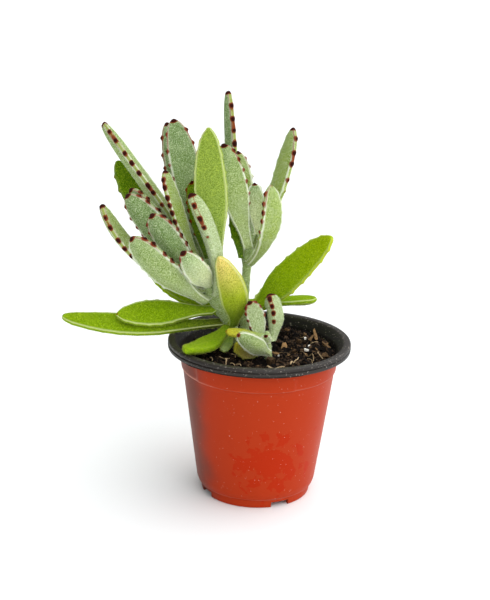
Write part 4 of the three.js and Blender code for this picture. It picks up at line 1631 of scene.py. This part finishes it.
@dataclass
class PottingMix:
    """Peaty potting mix: a lumpy surface with crumbs, bark, straw and perlite on it. Sizes in mm."""

    LEVEL = 71.5
    relief: float = 1.1  # the height of its lumps
    mound: float = 2.4  # how much higher it lies at the back right
    edge: float = 37.1
    rings: int = 46
    around: int = 150
    fibre_count: int = 36
    fibre_reach: float = 35.0  # how far from the pot's axis fibres lie

    def height_at(self, x: Points, y: Points) -> Points:
        """Gives the surface's height over a place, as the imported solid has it."""
        lump = np.sin(0.55 * x + 1.3) * np.cos(0.48 * y - 0.4) + 0.6 * np.sin(0.9 * y + 0.35 * x)
        return self.LEVEL + self.relief * lump + self.mound * smoothstep(0.6 * x + 0.8 * y, 0, 32)

    def build_surface(self) -> bpy.types.Object:
        """Makes the closed block of potting mix, its top broken up into small clods.

        Returns:
            The block.
        """
        angles = ring_angles(self.around)
        low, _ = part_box("soil")
        foot = np.array([(26.0, low.z / MM), (29.0, 7.6), (35.8, 60.0), (self.edge, 66.0)])
        top = self.edge * (1 - np.arange(self.rings) / self.rings) ** 0.9
        rings = []
        for radius, height in [*foot, *((radius, None) for radius in top)]:
            x, y = radius * np.cos(angles), radius * np.sin(angles)
            if height is None:
                clods = np.array([self.clods(a, b) for a, b in zip(x, y)])
                height = self.height_at(x, y) + clods - 1.6 * smoothstep(radius, self.edge - 3.5, self.edge)
            rings.append(np.stack([x, y, height + 0 * x], axis=1))
        points = np.concatenate([*rings, [rings[0].mean(axis=0), rings[-1].mean(axis=0)]])
        piece = make_mesh("potting_mix", points, skin_faces(len(rings), self.around))
        set_values(piece, "bit", np.full(len(points), 0.6))
        crumbly = (points[:, 2] > self.LEVEL - 5) & (np.hypot(points[:, 0], points[:, 1]) < self.edge - 0.6)
        set_values(piece, "crumbly", crumbly)
        return piece

    def clods(self, x: float, y: float) -> float:
        """Gives the small ups and downs of the crumbly surface, in mm.

        Args:
            x: The place, in mm.
            y: The place, in mm.

        Returns:
            How far the surface rises there.
        """
        coarse = noise.noise(Vector((x * 0.35, y * 0.35, 3.0)))
        fine = noise.noise(Vector((x * 0.9, y * 0.9, 9.0)))
        cells = noise.voronoi(Vector((x * 0.42, y * 0.42, 1.0)))[0][0]
        return 1.2 * coarse + 0.8 * fine - 1.4 * cells

    def crumb_tree(self, crumb: bpy.types.Material, sort: Crumbs) -> bpy.types.NodeTree:
        """Makes the node tree that scatters crumbs, each turned and sized on its own.

        Args:
            crumb: What the crumbs are made of.
            sort: Their shape.

        Returns:
            The tree.
        """
        tree, given, spots = start_scatter(
            "scattered_" + sort.name, ("Crumb radius",), "Crumbs per square metre", "crumbly"
        )
        joined = add(tree, "GeometryNodeJoinGeometry")
        for number in range(sort.shapes):
            ball = {"Radius": given["Crumb radius"], "Subdivisions": sort.rounding}
            lump = add(tree, "GeometryNodeMeshIcoSphere", ball).outputs["Mesh"]
            spot = add(tree, "GeometryNodeInputPosition").outputs[0]
            shift = {0: spot, 1: (number * 0.7, number * 0.3, 0)}
            moved = add(tree, "ShaderNodeVectorMath", shift, operation="ADD").outputs[0]
            pattern = {"Vector": moved, "Scale": 0.7 / (sort.radius * MM), "Detail": 1.0}
            bend = add(tree, "ShaderNodeTexNoise", pattern).outputs["Color"]
            middle = {0: bend, 1: (0.5, 0.5, 0.5)}
            centred = add(tree, "ShaderNodeVectorMath", middle, operation="SUBTRACT").outputs[0]
            much = {0: centred, "Scale": 2.6 * sort.radius * MM}
            scaled = add(tree, "ShaderNodeVectorMath", much, operation="SCALE").outputs[0]
            broken = add(tree, "GeometryNodeSetPosition", {"Geometry": lump, "Offset": scaled}).outputs[0]
            flat = {"Geometry": broken, "Shade Smooth": False}
            angular = add(tree, "GeometryNodeSetShadeSmooth", flat).outputs[0]
            single = add(tree, "GeometryNodeGeometryToInstance", {"Geometry": angular})
            tree.links.new(single.outputs[0], joined.inputs[0])
        turn = add(
            tree,
            "FunctionNodeRandomValue",
            {"Min": (-0.8, -0.8, 0.0), "Max": (0.8, 0.8, 2 * math.pi), "Seed": given["Seed"]},
            data_type="FLOAT_VECTOR",
        )
        least = (0.4, 0.35, 0.4 * sort.thickness)
        size = add(
            tree,
            "FunctionNodeRandomValue",
            {"Min": least, "Max": (1.5, 1.1, 1.3 * sort.thickness), "Seed": given["Seed"]},
            data_type="FLOAT_VECTOR",
        )
        placed = add(
            tree,
            "GeometryNodeInstanceOnPoints",
            {
                "Points": spots.outputs["Points"],
                "Instance": joined.outputs[0],
                "Pick Instance": True,
                "Rotation": turn.outputs["Value"],
                "Scale": size.outputs["Value"],
            },
        )
        shades = {2: 0.0, 3: 1.3, "Seed": given["Seed"]}
        shade = add(tree, "FunctionNodeRandomValue", shades, data_type="FLOAT")
        marked = add(
            tree,
            "GeometryNodeStoreNamedAttribute",
            {"Geometry": placed.outputs[0], "Name": "bit", "Value": shade.outputs[1]},
            data_type="FLOAT",
            domain="INSTANCE",
        )
        real = add(tree, "GeometryNodeRealizeInstances", {"Geometry": marked.outputs[0]})
        dressed = add(tree, "GeometryNodeSetMaterial", {"Geometry": real.outputs[0], "Material": crumb})
        add(tree, "NodeGroupOutput", {"Geometry": dressed.outputs[0]})
        return tree

    def scatter(
        self, ground: bpy.types.Object, sort: Crumbs, crumb: bpy.types.Material
    ) -> bpy.types.Object:
        """Scatters one sort of crumb over the ground as a piece of its own.

        Args:
            ground: The surface that they lie on.
            sort: The crumbs' shape and number.
            crumb: What they are made of.

        Returns:
            The crumbs.
        """
        piece = put_in_scene(sort.name, ground.data.copy())
        inputs = {
            "Crumb radius": sort.radius * MM,
            "Crumbs per square metre": sort.per_square_mm / MM**2,
            "Seed": sort.seed,
        }
        run_tree(piece, self.crumb_tree(crumb, sort), inputs)
        return piece

    def lay_twigs(self, twigs: list[Twig]) -> bpy.types.Object:
        """Lays the named twigs, and thin fibres at random, over the mix as one piece.

        Args:
            twigs: The named ones.

        Returns:
            The twigs.
        """
        random = np.random.default_rng(31)
        fibres = []
        for _ in range(self.fibre_count):
            way, far = random.uniform(0, 2 * math.pi), self.fibre_reach * math.sqrt(random.uniform(0, 1))
            lie, length = random.uniform(0, 2 * math.pi), random.uniform(2, 6)
            x, y = far * math.cos(way), far * math.sin(way)
            end = (x + length * math.cos(lie), y + length * math.sin(lie))
            if math.hypot(*end) < self.fibre_reach:
                radius, bit = random.uniform(0.1, 0.24), random.uniform(0.3, 1.1)
                fibres.append(Twig((x, y), end, random.uniform(0.2, 1.2), radius, bit, random.uniform(-1, 1)))
        bodies = []
        sides, spans = 6, 8
        for twig in [*twigs, *fibres]:
            t = np.linspace(0, 1, spans + 1)
            start, end = np.array(twig.start), np.array(twig.end)
            aside = np.array([start[1] - end[1], end[0] - start[0]]) / np.linalg.norm(end - start)
            flat = start + (end - start) * t[:, None] + aside * twig.sway * np.sin(math.pi * t[:, None])
            ground = self.height_at(flat[:, 0], flat[:, 1])
            line = np.column_stack([flat, ground + 0.3 + twig.radius + twig.arch * np.sin(math.pi * t)])
            wide = twig.radius * (1.05 - 0.45 * t) * (1 + 0.2 * np.sin(9 * t))
            bodies.append((*tube(line, (0.0, 0.0, 1.0), wide[:, None], sides), twig.bit))
        return join_bits("soil_twigs", bodies, smooth=True)

    def lay_chips(self, name: str, chips: list[Chip]) -> bpy.types.Object:
        """Lays broken chips on the mix as one piece, each an uneven slab with split ends.

        Args:
            name: The piece's name.
            chips: The chips.

        Returns:
            The chips.
        """
        random = np.random.default_rng(47)
        corners = np.array(
            [(-1, -0.6), (-0.55, -1), (0.2, -0.85), (0.9, -0.9), (1, 0.1), (0.7, 0.95), (-0.3, 0.8)]
        )
        count = len(corners)
        bodies = []
        for chip in chips:
            low, high = -0.5 * chip.size[2], 0.5 * chip.size[2]
            flat = corners * random.uniform(0.8, 1.15, corners.shape) * np.array(chip.size[:2]) / 2
            top = np.column_stack([flat, high * random.uniform(0.7, 1.2, count)])
            under = np.column_stack([0.85 * flat, np.full(count, low)])
            body = np.concatenate([under, top, [[0, 0, low], [0, 0, 0.62 * chip.size[2]]]])
            lie = Matrix.Rotation(math.radians(chip.tilt), 3, "X")
            turn = Matrix.Rotation(math.radians(chip.turn), 3, "Z") @ lie
            x, y = chip.place
            middle = np.array([x, y, float(self.height_at(np.array(x), np.array(y))) + chip.lift])
            bodies.append((body @ np.array(turn).T + middle, skin_faces(2, count), chip.bit))
        return join_bits(name, bodies, smooth=False)

    def build(self) -> None:
        """Makes the block, its crumbs and its bits, dresses them and hands them to the frame."""
        peat = LooseMatterFinish("damp_peat", "#060403", "#251a11", 1.6).material()
        crumbs = LooseMatterFinish("peat_crumbs", "#080504", "#524030").material()
        bark = LooseMatterFinish("composted_bark", "#1c120b", "#9c7a52", 0.7).material()
        straw = LooseMatterFinish("dry_straw", "#3a2a1a", "#d9bd92", 0.5).material()
        perlite = LooseMatterFinish("perlite", "#b9b4a8", "#fbf8ef", 0.5, roughness=0.8).material()
        ground = self.build_surface()
        ground.data.materials.append(peat)
        sorts = (
            (Crumbs("peat_crumbs_fine", 0.5, 0.5, 11), crumbs),
            (Crumbs("peat_crumbs_coarse", 1.15, 0.15, 12, rounding=2), crumbs),
            (Crumbs("bark_crumbs", 1.2, 0.02, 13, rounding=2, thickness=0.35), bark),
        )
        for sort, matter in sorts:
            hand_over(self.scatter(ground, sort, matter), "soil")
        hand_over(ground, "soil", "soil")
        bits = (
            (self.lay_twigs(SOIL_TWIGS), straw),
            (self.lay_chips("bark_chips", BARK_CHIPS), bark),
            (self.lay_chips("perlite_grains", PERLITE_GRAINS), perlite),
        )
        for piece, matter in bits:
            piece.data.materials.append(matter)
            hand_over(piece, "soil")


SOIL_TWIGS = [
    Twig((-16.9, -12), (-15.9, -22), 1.2, 0.34, 1.1),
    Twig((-23.8, -12.5), (-22.6, -16), 0.3, 0.3, 1.0),
    Twig((-11, -21.5), (-8.7, -24), 0.2, 0.28, 0.9),
    Twig((4, -22.2), (12, -25.5), 1.6, 0.42, 0.95, -1.6),
    Twig((15, -19.5), (19.2, -8.2), 0.4, 0.34, 1.1, 0.1),
    Twig((24, -4.8), (26, -14.3), 1.1, 0.3, 0.8, 1.2),
    Twig((28.8, -4.4), (31, -11.1), 1.0, 0.28, 0.9, -1.0),
]
BARK_CHIPS = [
    Chip((12.2, 6), (3.4, 3.8, 1.2), 20, 60, 1.25, 1.4),
    Chip((8, -4), (4.6, 1.8, 0.8), 160, 30, 1.3, 1.0),
    Chip((28, 17), (1.8, 8, 0.8), 15, 35, 0.95, 1.6),
    Chip((26, 12), (1.6, 5, 0.8), -25, 25, 0.8, 1.2),
    Chip((33, 5), (1.8, 7.5, 1.2), 35, 10, 0.75, 0.9),
    Chip((31.5, -7), (4.4, 3.2, 0.9), 30, 40, 0.62, 1.2),
    Chip((5.2, -17), (4.6, 4.2, 3.2), 60, 0, 0.55, 1.1),
    Chip((20, 8), (3, 2.2, 1.6), 100, 10, 0.6, 1.0),
    Chip((17, -4), (2.6, 2, 1.4), 10, 15, 0.55, 0.9),
    Chip((23, 20), (3.4, 2, 1.2), 80, 25, 0.75, 1.0),
    Chip((14, 24), (2.8, 1.6, 1), 140, 20, 0.85, 0.9),
    Chip((25, 3), (2.4, 1.8, 1.2), 50, 20, 0.6, 0.9),
]
PERLITE_GRAINS = [
    Chip((23.2, -2), (2.4, 1.3, 1.0), 150, 0, 1.2, 1.3),
    Chip((22.9, 11.7), (1.3, 1.1, 1.0), 0, 0, 1.1, 1.4),
    Chip((24.5, 3.2), (1.5, 0.9, 0.8), 40, 0, 1.2, 1.6),
    Chip((9.5, -9), (0.9, 0.8, 0.7), 0, 0, 0.8, 0.9),
]


@dataclass
class Studio:
    """The pale floor, the soft lights and the camera, at the photograph's viewing angle."""

    elevation: float = 17.4  # degrees above the horizon
    distance: float = 690.0  # mm
    roll: float = 1.55  # degrees
    aim: Place = (-7.6, 0.0, 98.1)  # mm
    lens: float = 85.0  # mm
    sensor: float = 36.0  # mm
    paper: str = "#f2f5f6"
    paper_reach: float = 9000.0  # mm
    world_strength: float = 0.36

    def build_camera(self) -> None:
        """Sets up the camera that the photograph was fitted with."""
        tilt, roll = math.radians(self.elevation), math.radians(self.roll)
        forward = np.array([0, math.cos(tilt), -math.sin(tilt)])
        level = np.array([1.0, 0, 0])
        upright = np.cross(level, forward)
        right = math.cos(roll) * level + math.sin(roll) * upright
        up = -math.sin(roll) * level + math.cos(roll) * upright
        data = bpy.data.cameras.new("photo_camera")
        data.lens, data.sensor_width = self.lens, self.sensor
        data.clip_start, data.clip_end = 0.01, 20
        camera = put_in_scene("photo_camera", data)
        matrix = Matrix([[right[i], up[i], -forward[i]] for i in range(3)]).to_4x4()
        matrix.translation = Vector((np.array(self.aim) - forward * self.distance) * MM)
        camera.matrix_world = matrix
        bpy.context.scene.camera = camera

    def build_light(
        self, name: str, azimuth: float, elevation: float, spread: float, strength: float
    ) -> None:
        """Hangs a far, soft light, as wide as a big softbox seen from the plant.

        Args:
            name: The light's name.
            azimuth: The side that it shines from, in degrees from +X towards +Y.
            elevation: How high it hangs, in degrees above the horizon.
            spread: How wide it looks from the plant, in degrees.
            strength: Its strength, in watts per square metre.
        """
        data = bpy.data.lights.new(name, "SUN")
        data.angle, data.energy = math.radians(spread), strength
        lamp = put_in_scene(name, data)
        side, up = math.radians(azimuth), math.radians(elevation)
        towards = Vector((math.cos(up) * math.cos(side), math.cos(up) * math.sin(side), math.sin(up)))
        lamp.location = towards
        lamp.rotation_mode = "QUATERNION"
        lamp.rotation_quaternion = towards.to_track_quat("Z", "Y")

    def build_floor(self) -> None:
        """Lays the plain pale floor that the pot stands on."""
        made, tree, _ = Finish("white_paper_sweep").start()
        paper = add(tree, "ShaderNodeBsdfDiffuse", {"Color": linear(self.paper)})
        add(tree, "ShaderNodeOutputMaterial", {"Surface": paper.outputs[0]})
        far = self.paper_reach
        corners = np.array([(-far, -far, 0), (far, -far, 0), (far, far, 0), (-far, far, 0)])
        floor = make_mesh("paper_floor", corners, [(0, 1, 2, 3)])
        floor.data.materials.append(made)
        floor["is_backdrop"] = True

    def build(self) -> None:
        """Sets up the camera, floor, lights and surrounding light."""
        self.build_camera()
        self.build_floor()
        self.build_light("key_softbox", azimuth=8.0, elevation=58.0, spread=105.0, strength=3.3)
        self.build_light("front_reflector", azimuth=-80.0, elevation=28.0, spread=60.0, strength=1.1)
        world = bpy.data.worlds.new("white_studio")
        world.use_nodes = True
        background = world.node_tree.nodes["Background"]
        background.inputs["Color"].default_value = linear("#ffffff")
        background.inputs["Strength"].default_value = self.world_strength
        bpy.context.scene.world = world
        bpy.context.scene.view_settings.view_transform = "Standard"


def main() -> None:
    """Builds the studio, the pot, the potting mix and the shoots, in that order."""
    logging.basicConfig(level=logging.INFO, format="%(name)s %(message)s")
    Studio().build()

    # The red sheet's wear colour is painted shade over the side away from the light; its colour of scuffs
    # also paints highlights.
    red = StyreneFinish(
        "brick_red_polystyrene", colour="#aa3413", wear_and_painted_shade="#70382c", stain="#ac2400", scuff_and_painted_highlight="#d08a76",
        dust="#e4c6ba", dirt="#3a1a12", roughness=0.42, shine=0.06, haze=0.12,
    )
    black = StyreneFinish(
        "black_polystyrene", colour="#120f0d", wear_and_painted_shade="#241f1b", stain="#15110f", scuff_and_painted_highlight="#6b645c",
        dust="#9d968c", dirt="#33271c", roughness=0.45, shine=0.35, dusty_from=0.64,
    )
    pot = NurseryPot().build(red.material(), black.material())
    hand_over(pot, "pot", "pot")
    PottingMix().build()

    white = HairCoat(HairFinish("white_plant_hair", "#eef2dc", "#ccd6ae"))
    green = HairCoat(HairFinish("yellow_green_plant_hair", "#ccd868", "#a6ba36"))
    coats = {"leaf": white, "leaf_green": green, "stem": white}
    felt = {
        "leaf": FeltFinish("silver_felted_leaf").material(),
        "leaf_green": FeltFinish(
            "green_felted_leaf", shine=0.02, sheen=0.01, shade="#acb878", tuft="#b6c62a", bloom="#a9bb3a",
            bloom_cover=0.08, edge="#b5c22a", rim="#dfe6a8", bump=0.3,
        ).material(),
        "stem": FeltFinish("felted_stem", bloom_cover=0.12).material(),
    }
    Shoot("main", MAIN_PATH, (3.1, 2.4), rosette_leaves() + low_leaves()).build(coats, felt, 100)
    Shoot("right", RIGHT_PATH, (2.5, 1.8), right_leaves()).build(coats, felt, 300)
    Shoot("offset", OFFSET_PATH, (2.0, 1.4), offset_leaves()).build(coats, felt, 400)

    triangles = sum(len(p.vertices) - 2 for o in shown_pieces() if o.type == "MESH" for p in o.data.polygons)
    LOG.info("the whole object has %d triangles", triangles)


if __name__ == "__main__":
    main()
